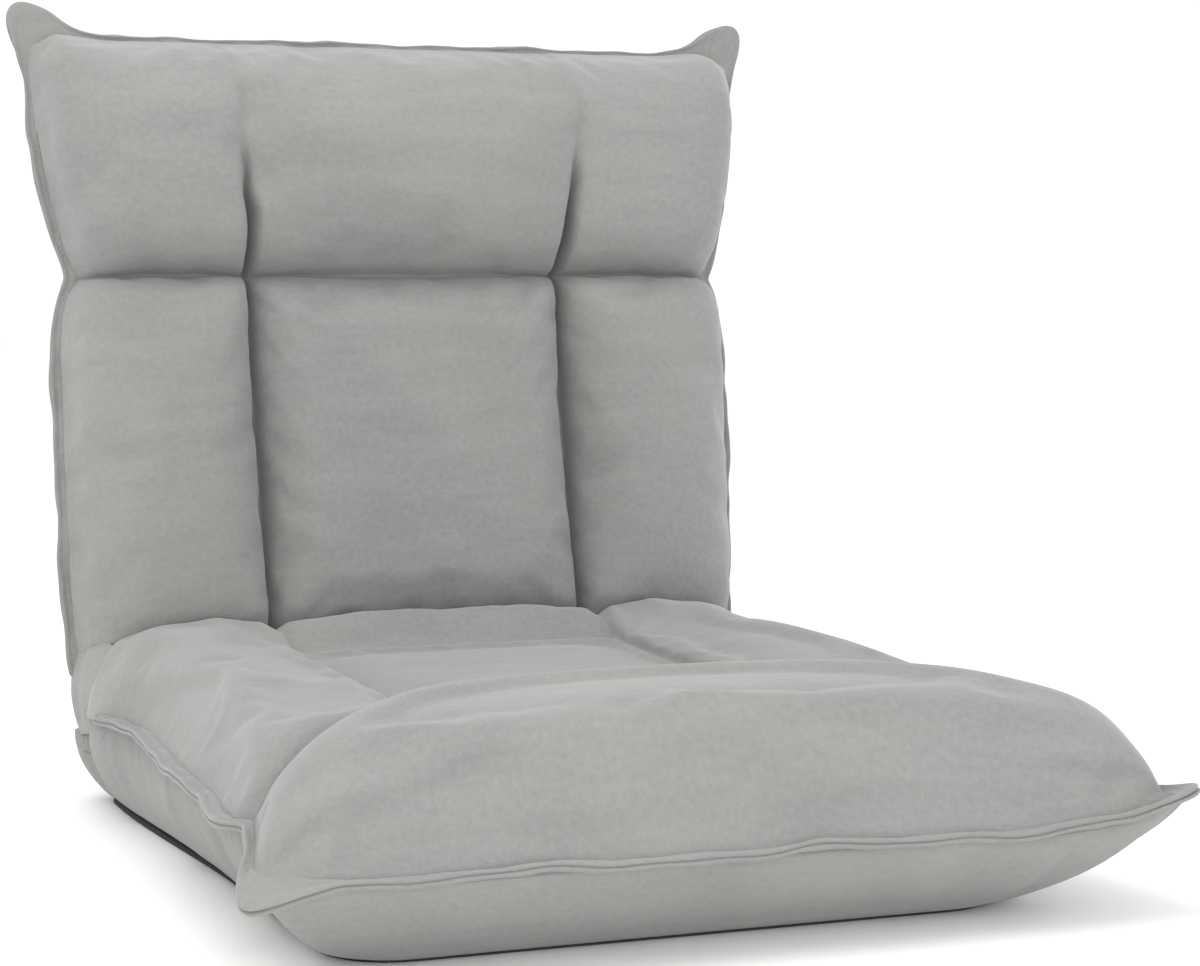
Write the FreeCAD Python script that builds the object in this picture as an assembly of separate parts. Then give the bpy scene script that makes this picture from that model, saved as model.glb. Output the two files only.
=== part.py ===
import FreeCAD, Part
import math
import os

# Folding floor chair: a cushioned seat and a cushioned back on two steel tube frames,
# joined by a pair of ratchet hinges. Millimetres, +Z up, +Y to the rear, +X to the sitter's left.
# The origin is the floor point below the middle of the back's hinge axis.
V = FreeCAD.Vector
X_AXIS = V(1, 0, 0)
Y_AXIS = V(0, 1, 0)
Z_AXIS = V(0, 0, 1)

# Overall sizes
seat_width = 580.0           # over the sewn edge flanges
seat_front = 608.0           # hinge axis to the front edge of the flange
back_width = 536.0           # over the flanges, beside the back panels
head_width = 562.0           # over the flanges, at the head roll
back_length = 530.0          # hinge axis to the top edge of the flange
axis_height = 60.0           # hinge axis above the floor
back_lean = 6.0              # backward lean of the stored pose, from upright

# Sewn covers
flange_width = 11.0
cloth = 1.2
bottom_cloth_thickness = 1.0
seam_gap = 0.3               # between a pad and the cover round it
felt_thickness = 8.1         # between the frame and the pads
felt_margin = 5.0            # felt beyond the frame
base_floor_width = 432.0     # the boxing tapers in to this on the floor
base_front_setback = 59.0    # front seam to the base's front edge on the floor
base_rear = 46.0             # base behind the hinge axis
base_step = 22.0             # behind this the base is low, so that the back can lie flat
base_low_drop = 14.0         # top of the low rear below the hinge axis
base_hub_rise = 6.0          # top of the base beside the hubs above the hinge axis
base_corner_radius = 45.0
rim_play = 6.0               # between the frame and the foam rim round it
well_rear = 25.0             # end of the frame's well behind the hinge axis
pocket_half = 16.0           # half width of the foam's pocket for a hinge
pocket_play = 5.0            # between a cheek's front end and the pocket's
pocket_rear = 40.0           # end of the pocket behind the hinge axis

# Seat pads
bolster_inner_x = 126.0      # seam between a side bolster and the centre pad
roll_rear = 430.0            # seam behind the front roll, in front of the axis
seat_pad_rear = 76.0         # rear end of the seat pads, in front of the axis
rear_pad_front = 124.0       # seam in front of the rear strip
roll_rise = 71.0             # crown of each pad above the flange
bolster_rise = 62.0
centre_rise = 42.0
rear_pad_rise = 60.0
crown_drop = 26.0            # how far a pad's long edges lie below its crown
lip_corner = 8.0             # corner radius of a flange layer

# Back pads, measured along the back from the axis and forward from the frame's plane
back_pad_start = 62.0
head_seam = 329.0
head_top_seam = 518.0
channel_x = 122.0
panel_depth = 65.0
centre_panel_depth = 60.0
head_depth = 76.0
rear_depth = 38.0
back_crown_drop = 20.0
rear_corner = 12.0           # corner radius of the rear cover
rear_foam_corner = 10.0
head_step = 3.0              # the wider head starts this far above its seam
panel_overlap = 20.0         # the panels' flange runs this far up behind the head
back_wall = 4.0              # from the seam to the hollow inside the back
back_open = 5.0              # the hollow runs on this far through the open bottom
gusset_inset = 10.0          # ends of a gusset inside the back's sides
rear_gusset_bulge = 5.0
front_gusset_bulge = 6.0

# Steel frames
tube_radius = 9.5
tube_wall = 1.2
weld_gap = 0.05              # between a saddle-cut end and the tube that it is welded to
frame_x = 225.0              # side tubes and hinges, from the middle
frame_bend = 60.0
frame_front_setback = 88.0   # front flange to the middle of the frame's front tube
back_frame_top = 470.0
seat_tube_end = 62.0
back_tube_end = 52.0
seat_cross_places = (150.0, 400.0)
back_cross_places = (150.0, 400.0)
strap_places = (215.0, 275.0, 335.0)
strap_width = 40.0
strap_thickness = 1.5
strap_gap = 0.3

# Ratchet hinges
tooth_pitch = 12.0           # degrees between two back positions
recline_steps = 7            # positions from the stored pose back to flat
fold_steps = 5               # positions from the stored pose forward
gear_tip = 24.0
gear_root = 20.4
tooth_tip_width = 1.1
tooth_root_width = 1.9
gear_thickness = 4.0
cheek_thickness = 2.0
side_play = 0.2              # between a cheek and what turns beside it
hub_rim = 3.0                # cheek beyond the teeth
cheek_arm_half = 10.0
cheek_arm_length = 110.0
cheek_joggle_start = 50.0
cheek_joggle_end = 60.5
tang_play = 0.3              # between the tang's corners and the tube's bore
tang_length = 96.0
pivot_radius = 5.0
pivot_head_radius = 9.0
running_play = 0.05
pin_radius = 2.5
small_head_radius = 4.5
head_height = 1.6
head_play = 0.05             # between a rivet head and the plate under it
pawl_pin_ahead = 6.0         # pawl pin in front of the gear's teeth
pawl_pin_z = -18.0
pawl_boss = 6.0
ear_rim = 3.0                # cheek round the pawl's boss
ear_web_low = 62.0           # degrees from the ear down to where its web leaves the hub
ear_web_high = 48.0          # degrees above the arm where the web leaves the hub
pawl_lift = 11.5             # degrees that lift the nose out of the teeth
pawl_heel = 5.5              # height of the pawl's back above its nose
pawl_hump = 7.5
nose_depth = 3.1
nose_tip_half = 0.7
nose_root_half = 1.15
nose_play = 0.1              # the nose's root lies this far inside the teeth's tips in mesh
pawl_thickness = 3.8
spacer_ahead = 19.5          # spacer rivet in front of the gear's teeth
spacer_z = 1.0
spring_strip = 0.5
spring_width = 3.6
spring_leg = 6.5
frame_rivet_places = (78.0, 98.0)
tang_rivet_places = (66.0, 84.0)
fit_play = 0.05

seam_half = seat_width / 2 - flange_width
seat_front_seam = seat_front - flange_width
seat_frame_front = seat_front - frame_front_setback
base_low_top = axis_height - base_low_drop
hub_radius = gear_tip + hub_rim
nose_start = gear_tip - nose_play
pawl_pin_y = -gear_tip - pawl_pin_ahead
spacer_y = -gear_tip - spacer_ahead
tang_half = math.sqrt((tube_radius - tube_wall - tang_play) ** 2 - (gear_thickness / 2) ** 2)
fold_limit = fold_steps * tooth_pitch
closed_half_angle = (90 + back_lean - fold_limit) / 2
fold_clearance = 1.5
strap_radius = tube_radius + strap_gap + strap_thickness
flange_rise = strap_radius + 2 * seam_gap + felt_thickness
seat_flange_height = axis_height + flange_rise
hinge_span = 60.0            # passes right through one hinge
big = 1500.0


def place_seat(shape):
    """Seat pieces are drawn round the hinge axis and lifted to its height."""
    shape.translate(V(0, 0, axis_height))
    return shape


def place_back(shape):
    """Back pieces are drawn lying flat behind the axis, then turned up to the stored lean."""
    shape.rotate(V(0, 0, 0), X_AXIS, 90 - back_lean)
    shape.translate(V(0, 0, axis_height))
    return shape


def polygon_prism(points, start, direction):
    wire = Part.makePolygon(points + [points[0]])
    face = Part.Face(wire)
    face.translate(start)
    return face.extrude(direction)


def pad_along_y(x0, x1, y0, y1, z0, z_side, z_top):
    """A pad with a crowned section that runs front to back."""
    middle = (x0 + x1) / 2
    left = Part.LineSegment(V(x0, y0, z0), V(x0, y0, z_side)).toShape()
    crown = Part.Arc(V(x0, y0, z_side), V(middle, y0, z_top), V(x1, y0, z_side)).toShape()
    right = Part.LineSegment(V(x1, y0, z_side), V(x1, y0, z0)).toShape()
    base = Part.LineSegment(V(x1, y0, z0), V(x0, y0, z0)).toShape()
    return Part.Face(Part.Wire([left, crown, right, base])).extrude(V(0, y1 - y0, 0))


def pad_along_x(x0, x1, y0, y1, z0, z_side, z_top):
    """A pad with a crowned section that runs from side to side."""
    middle = (y0 + y1) / 2
    front = Part.LineSegment(V(x0, y0, z0), V(x0, y0, z_side)).toShape()
    crown = Part.Arc(V(x0, y0, z_side), V(x0, middle, z_top), V(x0, y1, z_side)).toShape()
    rear = Part.LineSegment(V(x0, y1, z_side), V(x0, y1, z0)).toShape()
    base = Part.LineSegment(V(x0, y1, z0), V(x0, y0, z0)).toShape()
    return Part.Face(Part.Wire([front, crown, rear, base])).extrude(V(x1 - x0, 0, 0))


def rounded_plate(x0, x1, y0, y1, radius, z):
    """Outline of a rounded rectangle at height z, as a wire."""
    r = radius
    k = r * (1 - math.sqrt(0.5))
    edges = [
        Part.LineSegment(V(x0 + r, y0, z), V(x1 - r, y0, z)).toShape(),
        Part.Arc(V(x1 - r, y0, z), V(x1 - k, y0 + k, z), V(x1, y0 + r, z)).toShape(),
        Part.LineSegment(V(x1, y0 + r, z), V(x1, y1 - r, z)).toShape(),
        Part.Arc(V(x1, y1 - r, z), V(x1 - k, y1 - k, z), V(x1 - r, y1, z)).toShape(),
        Part.LineSegment(V(x1 - r, y1, z), V(x0 + r, y1, z)).toShape(),
        Part.Arc(V(x0 + r, y1, z), V(x0 + k, y1 - k, z), V(x0, y1 - r, z)).toShape(),
        Part.LineSegment(V(x0, y1 - r, z), V(x0, y0 + r, z)).toShape(),
        Part.Arc(V(x0, y0 + r, z), V(x0 + k, y0 + k, z), V(x0 + r, y0, z)).toShape(),
    ]
    return Part.Wire(edges)


def flat_slab(x0, x1, y0, y1, radius, z0, z1):
    return Part.Face(rounded_plate(x0, x1, y0, y1, radius, z0)).extrude(V(0, 0, z1 - z0))


def cylinder(radius, start, direction, length):
    return Part.makeCylinder(radius, length, start, direction)


def fold_wedge(sign, depth):
    """All above the plane that halves the closed chair, and a layer of a given depth below it."""
    slope = math.tan(math.radians(closed_half_angle))
    drop = -fold_clearance - depth
    far = V(0, sign * big, big * slope + drop)
    return polygon_prism(
        [V(0, 0, drop), far, V(0, sign * big, big), V(0, 0, big)],
        V(-big / 2, 0, 0),
        V(big, 0, 0),
    )


# Pads of the seat, by name: x0, x1, y0, y1, crown height and the way the section runs
def seat_chambers():
    edge = seam_half - cloth
    roll = ("x", -edge, edge, -seat_front_seam + cloth, -roll_rear, roll_rise)
    return {
        "seat_front_roll_foam": roll,
        "seat_left_bolster_foam": ("y", bolster_inner_x, edge, -roll_rear, -seat_pad_rear, bolster_rise),
        "seat_right_bolster_foam": ("y", -edge, -bolster_inner_x, -roll_rear, -seat_pad_rear, bolster_rise),
        "seat_centre_pad_foam": (
            "y", -bolster_inner_x, bolster_inner_x, -roll_rear, -rear_pad_front, centre_rise),
        "seat_rear_pad_foam": (
            "x", -bolster_inner_x, bolster_inner_x, -rear_pad_front, -seat_pad_rear, rear_pad_rise),
    }


def back_chambers():
    edge = back_width / 2 - flange_width - cloth
    head_edge = head_width / 2 - flange_width - cloth
    top = head_top_seam - cloth
    return {
        "back_left_panel_foam": ("y", channel_x, edge, back_pad_start, head_seam, panel_depth),
        "back_right_panel_foam": ("y", -edge, -channel_x, back_pad_start, head_seam, panel_depth),
        "back_centre_panel_foam": ("y", -channel_x, channel_x, back_pad_start, head_seam, centre_panel_depth),
        "head_roll_foam": ("x", -head_edge, head_edge, head_seam, top, head_depth),
    }


def chamber_solid(chamber, bottom, grow, drop):
    """The pad itself (grow below 0) or the cover's outside over it (grow above 0)."""
    way, x0, x1, y0, y1, top = chamber
    build = pad_along_x if way == "x" else pad_along_y
    return build(x0 - grow, x1 + grow, y0 - grow, y1 + grow, bottom, top - drop + grow, top + grow)


def seat_pad_bottom():
    return strap_radius + seam_gap


def seat_pads():
    pads = {}
    for name, chamber in seat_chambers().items():
        way, x0, x1, y0, y1, rise = chamber
        local = (way, x0, x1, y0, y1, flange_rise + rise)
        pad = chamber_solid(local, flange_rise + seam_gap, -cloth / 2 - seam_gap, crown_drop)
        pads[name] = place_seat(pad.cut(fold_wedge(-1, cloth + seam_gap)))
    return pads


def seat_cover():
    """The pillow's cover: a crowned skin over each pad, sewn walls between them, and the flange."""
    outer = None
    cavities = []
    for chamber in seat_chambers().values():
        way, x0, x1, y0, y1, rise = chamber
        local = (way, x0, x1, y0, y1, flange_rise + rise)
        skin = chamber_solid(local, flange_rise, cloth, crown_drop)
        outer = skin if outer is None else outer.fuse(skin)
        cavity = chamber_solid(local, flange_rise - flange_width, -cloth / 2, crown_drop)
        cavities.append(cavity.cut(fold_wedge(-1, cloth)))
    half = seat_width / 2
    lip = flat_slab(-half, half, -seat_front, -seat_pad_rear, lip_corner, flange_rise, flange_rise + cloth)
    cover = outer.fuse(lip)
    for cavity in cavities:
        cover = cover.cut(cavity)
    return place_seat(cover.cut(fold_wedge(-1, 0)))


def seat_felt():
    """Felt sheet over the frame and straps, inside the rim of the base foam."""
    half = frame_x + tube_radius + felt_margin
    front = -seat_frame_front - tube_radius - felt_margin
    low = seat_pad_bottom()
    high = low + felt_thickness
    return place_seat(flat_slab(-half, half, front, -seat_pad_rear - 2, rear_corner, low, high))


def base_outline(inset, height):
    """Outline of the tapered base at a height above the floor, moved in by an inset."""
    share = height / seat_flange_height
    half = base_floor_width / 2 + (seam_half - base_floor_width / 2) * share - inset
    front = seat_front_seam - base_front_setback * (1 - share) - inset
    rear = base_rear - inset
    return rounded_plate(-half, half, -front, rear, base_corner_radius - inset, height)


def base_block(inset, low, high):
    return Part.makeLoft([base_outline(inset, low), base_outline(inset, high)], True, True)


def bottom_cloth():
    share_face = Part.Face(base_outline(0, 0))
    return share_face.extrude(V(0, 0, bottom_cloth_thickness))


def base_cover():
    """The plain boxing round the base, with the lower layer of the seat's flange."""
    top = seat_flange_height
    half = seat_width / 2
    shell = base_block(0, bottom_cloth_thickness, top)
    lip = flat_slab(-half, half, -seat_front, -seat_pad_rear, lip_corner, top - cloth, top)
    shell = shell.fuse(lip)
    shell = shell.cut(base_block(cloth, bottom_cloth_thickness - 1, top + 1))
    return shell.cut(room_behind())


def room_behind():
    """The space over the low rear of the base that the back needs when it lies flat."""
    hub_room = hub_radius + hub_rim
    behind = Part.makeBox(big, big, big, V(-big / 2, base_step, base_low_top))
    over_hub = Part.makeBox(big, big, big, V(-big / 2, -hub_room, axis_height + base_hub_rise))
    return behind.fuse(over_hub)


def base_foam():
    """One moulded block: a floor for the frame, a rim round it and pockets for the hinges."""
    floor_top = axis_height - strap_radius - seam_gap
    rim_top = seat_flange_height
    block = base_block(cloth + seam_gap, bottom_cloth_thickness + seam_gap, rim_top)
    rim_x = frame_x + tube_radius + rim_play
    rim_front = seat_frame_front + tube_radius + rim_play
    well = Part.makeBox(2 * rim_x, rim_front + well_rear, big, V(-rim_x, -rim_front, floor_top))
    block = block.cut(well)
    pocket_front = cheek_arm_length + pocket_play
    for side in (-1, 1):
        low = axis_height - hub_radius - hub_rim
        corner = V(side * frame_x - pocket_half, -pocket_front, low)
        block = block.cut(Part.makeBox(2 * pocket_half, pocket_front + pocket_rear, big, corner))
    return block.cut(room_behind())


def back_pads():
    pads = {}
    for name, chamber in back_chambers().items():
        pad = chamber_solid(chamber, seat_pad_bottom(), -cloth / 2 - seam_gap, back_crown_drop)
        pads[name] = place_back(pad.cut(fold_wedge(1, cloth + seam_gap)))
    return pads


def back_lip(low, high):
    """One layer of the flange round the back: narrow beside the panels, wider at the head."""
    half = back_width / 2
    head_half = head_width / 2
    panels = flat_slab(-half, half, back_pad_start, head_seam + panel_overlap, lip_corner, low, high)
    head = flat_slab(-head_half, head_half, head_seam + head_step, back_length, lip_corner, low, high)
    return panels.fuse(head)


def frame_room(low, high):
    """The hollow inside the back's covers that holds the frame. It is open at the bottom."""
    inner = back_width / 2 - flange_width - back_wall
    length = head_top_seam - back_pad_start
    return Part.makeBox(2 * inner, length, high - low, V(-inner, back_pad_start - back_open, low))


def back_front_cover():
    outer = None
    cavities = []
    for chamber in back_chambers().values():
        skin = chamber_solid(chamber, 0, cloth, back_crown_drop)
        outer = skin if outer is None else outer.fuse(skin)
        cavity = chamber_solid(chamber, seat_pad_bottom() - 2, -cloth / 2, back_crown_drop)
        cavities.append(cavity.cut(fold_wedge(1, cloth)))
    cover = outer.fuse(back_lip(0, cloth))
    for cavity in cavities:
        cover = cover.cut(cavity)
    cover = cover.cut(frame_room(-1, seat_pad_bottom()))
    return place_back(cover.cut(fold_wedge(1, 0)))


def back_rear_cover():
    """The plain rear skin of the back, with the rear layer of its flange."""
    half = back_width / 2 - flange_width
    head_half = head_width / 2 - flange_width
    panels = flat_slab(-half, half, back_pad_start, head_seam + panel_overlap, rear_corner, -rear_depth, 0)
    head = flat_slab(-head_half, head_half, head_seam + head_step, head_top_seam, rear_corner, -rear_depth, 0)
    outer = panels.fuse(head).fuse(back_lip(-cloth, 0))
    return place_back(outer.cut(frame_room(-rear_depth + cloth, 1)))


def back_rear_foam():
    half = back_width / 2 - flange_width - back_wall - seam_gap
    low = -rear_depth + cloth + seam_gap
    high = -strap_radius - seam_gap
    top = head_top_seam - 2 * back_wall
    return place_back(flat_slab(-half, half, back_pad_start + 2, top, rear_foam_corner, low, high))


def cloth_strip(low, bulge, high, out):
    """A strip of cloth across the chair, from one edge to another through a bulge between them."""
    half = back_width / 2 - flange_width - gusset_inset
    start = V(-half, 0, 0)
    inner = Part.Arc(start + low, start + bulge, start + high).toShape()
    outer = Part.Arc(start + low + out, start + bulge + out, start + high + out).toShape()
    foot = Part.LineSegment(start + low, start + low + out).toShape()
    top = Part.LineSegment(start + high + out, start + high).toShape()
    face = Part.Face(Part.Wire([inner, top, outer, foot]))
    return face.extrude(V(2 * half, 0, 0))


def back_point(length, depth):
    """Where a point of the back lies in the stored pose, from its place along and across the back."""
    turn = math.radians(90 - back_lean)
    y = length * math.cos(turn) - depth * math.sin(turn)
    z = length * math.sin(turn) + depth * math.cos(turn)
    return V(0, y, axis_height + z)


def rear_gusset():
    """Cloth that closes the rear, from the low rear of the base up to the back's rear cover."""
    low = V(0, base_rear - 1.5 * cloth, base_low_top + seam_gap)
    high = back_point(back_pad_start - seam_gap, -rear_depth + 1.5 * cloth) - V(0, 0, cloth)
    bulge = (low + high) * 0.5 + V(0, rear_gusset_bulge, 0)
    return cloth_strip(low, bulge, high, V(0, cloth, 0))


def front_gusset():
    """Cloth in the crease, from the rear edge of the pillow up to the back's front cover."""
    low = V(0, -seat_pad_rear + cloth + seam_gap, seat_flange_height)
    high = back_point(back_pad_start - seam_gap, seat_pad_bottom() + 2) - V(0, 0, 3 * cloth)
    bulge = (low + high) * 0.5 + V(0, front_gusset_bulge, -front_gusset_bulge)
    return cloth_strip(low, bulge, high, V(0, 0, cloth))


def bend(centre, start, turn_axis, degrees, radius):
    """A stretch of round bar bent about a centre, from a start point at one end."""
    away = start - centre
    section = Part.Wire(Part.Edge(Part.Circle(start, turn_axis.cross(away), radius)))
    return Part.Face(section).revolve(centre, turn_axis, degrees)


def u_bar(start, end, radius):
    """A U of round bar: two legs from start to end along Y, joined by round bends."""
    way = 1 if end > start else -1
    turn = end - way * frame_bend
    leg = abs(turn - start)
    span = 2 * (frame_x - frame_bend)
    bar = cylinder(radius, V(-frame_x + frame_bend, end, 0), X_AXIS, span)
    for side in (-1, 1):
        low = min(start, turn)
        bar = bar.fuse(cylinder(radius, V(side * frame_x, low, 0), Y_AXIS, leg))
        centre = V(side * (frame_x - frame_bend), turn, 0)
        corner = bend(centre, V(side * frame_x, turn, 0), V(0, 0, side * way), 90, radius)
        bar = bar.fuse(corner)
    return bar.removeSplitter()


def bent_tube(start, end):
    return u_bar(start, end, tube_radius).cut(u_bar(start, end, tube_radius - tube_wall))


def rivet_row(places, y_sign):
    """Holes through both legs of a frame, as cylinders along X."""
    holes = None
    for side in (-1, 1):
        for place in places:
            start = V(side * frame_x - hinge_span / 2, y_sign * place, 0)
            hole = cylinder(pin_radius + fit_play, start, X_AXIS, hinge_span)
            holes = hole if holes is None else holes.fuse(hole)
    return holes


def seat_frame():
    tube = bent_tube(-seat_tube_end, -seat_frame_front)
    return place_seat(tube.cut(rivet_row(frame_rivet_places, -1)))


def back_frame():
    tube = bent_tube(back_tube_end, back_frame_top)
    return place_back(tube.cut(rivet_row(tang_rivet_places, 1)))


def cross_tubes(places, y_sign):
    """Straight tubes welded between the two legs, with saddle-cut ends."""
    legs = None
    for side in (-1, 1):
        leg = cylinder(tube_radius + weld_gap, V(side * frame_x, -big, 0), Y_AXIS, 2 * big)
        legs = leg if legs is None else legs.fuse(leg)
    tubes = []
    for place in places:
        start = V(-frame_x, y_sign * place, 0)
        rod = cylinder(tube_radius, start, X_AXIS, 2 * frame_x)
        bore = cylinder(tube_radius - tube_wall, start, X_AXIS, 2 * frame_x)
        tubes.append(rod.cut(bore).cut(legs))
    return Part.makeCompound(tubes)


def strap_loop(y, radius):
    """The outside of one strap stretched round both legs, at a radius about their centres."""
    loop = Part.makeBox(2 * frame_x, strap_width, 2 * radius, V(-frame_x, y - strap_width / 2, -radius))
    for side in (-1, 1):
        loop = loop.fuse(cylinder(radius, V(side * frame_x, y - strap_width / 2, 0), Y_AXIS, strap_width))
    return loop.removeSplitter()


def straps(y_sign):
    loops = []
    for place in strap_places:
        outer = strap_loop(y_sign * place, strap_radius)
        loops.append(outer.cut(strap_loop(y_sign * place, tube_radius + strap_gap)))
    return Part.makeCompound(loops)


# Ratchet hinge, drawn at x = 0 round the axis, in the plane of Y and Z
def polar(radius, angle):
    """A point at an angle above the forward direction."""
    turn = math.radians(angle)
    return V(0, -radius * math.cos(turn), radius * math.sin(turn))


def gear_plate():
    """Toothed plate of the back: one gap for each position, and a tang up into the tube."""
    gaps = []
    half_tip = tooth_pitch / 2 - math.degrees(tooth_tip_width / 2 / gear_tip)
    half_root = tooth_pitch / 2 - math.degrees(tooth_root_width / 2 / gear_root)
    thick = V(gear_thickness, 0, 0)
    start = V(-gear_thickness / 2, 0, 0)
    plate = cylinder(gear_tip, start, X_AXIS, gear_thickness)
    for step in range(-recline_steps, fold_steps + 1):
        middle = step * tooth_pitch
        gaps.append(polygon_prism(
            [
                polar(gear_root, middle - half_root),
                polar(gear_tip + 1, middle - half_tip),
                polar(gear_tip + 1, middle + half_tip),
                polar(gear_root, middle + half_root),
            ], start, thick))
    for gap in gaps:
        plate = plate.cut(gap)
    tang = Part.makeBox(gear_thickness, tang_length, 2 * tang_half, V(-gear_thickness / 2, 0, -tang_half))
    tang.rotate(V(0, 0, 0), X_AXIS, 90 - back_lean)
    plate = plate.fuse(tang)
    plate = plate.cut(cylinder(pivot_radius + running_play, start, X_AXIS, gear_thickness))
    for place in tang_rivet_places:
        hole = cylinder(pin_radius + fit_play, V(-gear_thickness / 2, place, 0), X_AXIS, gear_thickness)
        hole.rotate(V(0, 0, 0), X_AXIS, 90 - back_lean)
        plate = plate.cut(hole)
    return plate.removeSplitter()


def cheek_outline():
    """Side view of a cheek: round hub, ear for the pawl's pin, and the arm along the seat tube."""
    length = V(hinge_span, 0, 0)
    start = V(-hinge_span / 2, 0, 0)
    arm_turn = start + V(0, -cheek_arm_length + cheek_arm_half, 0)
    hub = cylinder(hub_radius, start, X_AXIS, hinge_span)
    ear = cylinder(pawl_boss + ear_rim, start + V(0, pawl_pin_y, pawl_pin_z), X_AXIS, hinge_span)
    arm_end = cylinder(cheek_arm_half, arm_turn, X_AXIS, hinge_span)
    ear_turn = math.degrees(math.atan2(pawl_pin_z, -pawl_pin_y))
    side = polar(pawl_boss + ear_rim, ear_turn - 90)
    ear_web = polygon_prism(
        [
            polar(hub_radius, ear_turn - ear_web_low),
            V(0, pawl_pin_y, pawl_pin_z) + side,
            V(0, -cheek_joggle_start, -cheek_arm_half),
            V(0, -cheek_joggle_start, cheek_arm_half),
            polar(hub_radius, ear_web_high),
            V(0, 0, 0),
        ], start, length)
    arm = Part.makeBox(hinge_span, cheek_arm_length - 2 * cheek_arm_half, 2 * cheek_arm_half,
                       arm_turn - V(0, 0, cheek_arm_half))
    outline = hub.fuse(ear).fuse(arm_end).fuse(ear_web).fuse(arm)
    return outline.removeSplitter()


def cheek(side):
    """One stamped cheek: flat beside the gear, stepped out to lie along the tube."""
    near = gear_thickness / 2 + side_play
    wide = tube_radius + side_play
    joggle = cheek_joggle_end
    t = cheek_thickness
    points = [
        V(side * near, hub_radius + 2, 0),
        V(side * near, -cheek_joggle_start, 0),
        V(side * wide, -joggle, 0),
        V(side * wide, -cheek_arm_length - 2, 0),
        V(side * (wide + t), -cheek_arm_length - 2, 0),
        V(side * (wide + t), -joggle + t / 2, 0),
        V(side * (near + t), -cheek_joggle_start + t / 2, 0),
        V(side * (near + t), hub_radius + 2, 0),
    ]
    sheet = polygon_prism(points, V(0, 0, -hinge_span), V(0, 0, 2 * hinge_span))
    plate = sheet.common(cheek_outline())
    for y, z, radius in cheek_holes():
        plate = plate.cut(cylinder(radius + fit_play, V(-hinge_span / 2, y, z), X_AXIS, hinge_span))
    return plate


def cheek_holes():
    """Every hole through a cheek: y, z and the radius of what passes through."""
    holes = [(0, 0, pivot_radius), (pawl_pin_y, pawl_pin_z, pin_radius), (spacer_y, spacer_z, pin_radius)]
    for place in frame_rivet_places:
        holes.append((-place, 0, pin_radius))
    return holes


def rivet(radius, head, half_grip, y, z):
    """A rivet with two set heads that hold a pack between -half_grip and +half_grip."""
    reach = half_grip + head_play
    shank = cylinder(radius, V(-reach, y, z), X_AXIS, 2 * reach)
    for start in (-reach - head_height, reach):
        shank = shank.fuse(cylinder(head, V(start, y, z), X_AXIS, head_height))
    return shank


def hub_grip():
    return gear_thickness / 2 + side_play + cheek_thickness


def tube_grip():
    return tube_radius + side_play + cheek_thickness


def pawl():
    """Pawl drawn in mesh, then turned about its pin until the nose is clear of the teeth."""
    start = V(-pawl_thickness / 2, 0, 0)
    thick = V(pawl_thickness, 0, 0)
    pin = V(0, pawl_pin_y, pawl_pin_z)
    boss = cylinder(pawl_boss, start + pin, X_AXIS, pawl_thickness)
    lever = polygon_prism(
        [
            pin + V(0, pawl_boss, 0),
            V(0, -nose_start - 0.6, -nose_root_half - 2.2),
            V(0, -nose_start - 0.6, -nose_root_half),
            V(0, -nose_start + nose_depth, -nose_tip_half),
            V(0, -nose_start + nose_depth, nose_tip_half),
            V(0, -nose_start - 0.6, nose_root_half),
            V(0, -nose_start - 2, pawl_heel),
            V(0, -nose_start - 9, pawl_hump),
            pin + V(0, -pawl_boss, 0),
        ], start, thick)
    body = boss.fuse(lever)
    body = body.cut(cylinder(pin_radius + running_play, start + pin, X_AXIS, pawl_thickness))
    body.rotate(pin, X_AXIS, pawl_lift)
    return body.removeSplitter()


def pawl_spring():
    """Leaf spring: a strip folded round the spacer rivet, whose free leg bears on the pawl's back."""
    inner = pin_radius + 0.2
    outer = inner + spring_strip
    centre = V(-spring_width / 2, spacer_y, spacer_z)
    wide = V(spring_width, 0, 0)
    loop = cylinder(outer, centre, X_AXIS, spring_width)
    leg_start = centre + V(0, inner, 0)
    leg = Part.makeBox(spring_width, spring_strip, spring_leg, leg_start)
    loop = loop.fuse(leg).cut(cylinder(inner, centre, X_AXIS, spring_width))
    mouth = polygon_prism(
        [V(0, spacer_y, spacer_z), V(0, spacer_y - 9, spacer_z + 3), V(0, spacer_y, spacer_z + 9)],
        V(-spring_width / 2, 0, 0), wide)
    return loop.cut(mouth).removeSplitter()


def on_side(shape, side):
    """Move a hinge piece to its side of the chair; the right side is the mirror of the left."""
    if side < 0:
        shape = shape.mirror(V(0, 0, 0), X_AXIS)
    shape.translate(V(side * frame_x, 0, axis_height))
    return shape


def group(shapes):
    return Part.makeCompound(shapes)


def hinge(side_name, side):
    """All pieces of one ratchet hinge."""
    frame_rivets = [rivet(pin_radius, small_head_radius, tube_grip(), -place, 0) for place in frame_rivet_places]
    tang_rivets = []
    for place in tang_rivet_places:
        piece = rivet(pin_radius, small_head_radius, tube_radius, place, 0)
        piece.rotate(V(0, 0, 0), X_AXIS, 90 - back_lean)
        tang_rivets.append(piece)
    pieces = {
        "outer_cheek": cheek(1),
        "inner_cheek": cheek(-1),
        "gear_plate": gear_plate(),
        "pivot_rivet": rivet(pivot_radius, pivot_head_radius, hub_grip(), 0, 0),
        "pawl": pawl(),
        "pawl_pin": rivet(pin_radius, small_head_radius, hub_grip(), pawl_pin_y, pawl_pin_z),
        "spacer_rivet": rivet(pin_radius, small_head_radius, hub_grip() + 3.2, spacer_y, spacer_z),
        "pawl_spring": pawl_spring(),
        "frame_rivets": group(frame_rivets),
        "tang_rivets": group(tang_rivets),
    }
    return {side_name + "_" + name: on_side(shape, side) for name, shape in pieces.items()}


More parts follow.
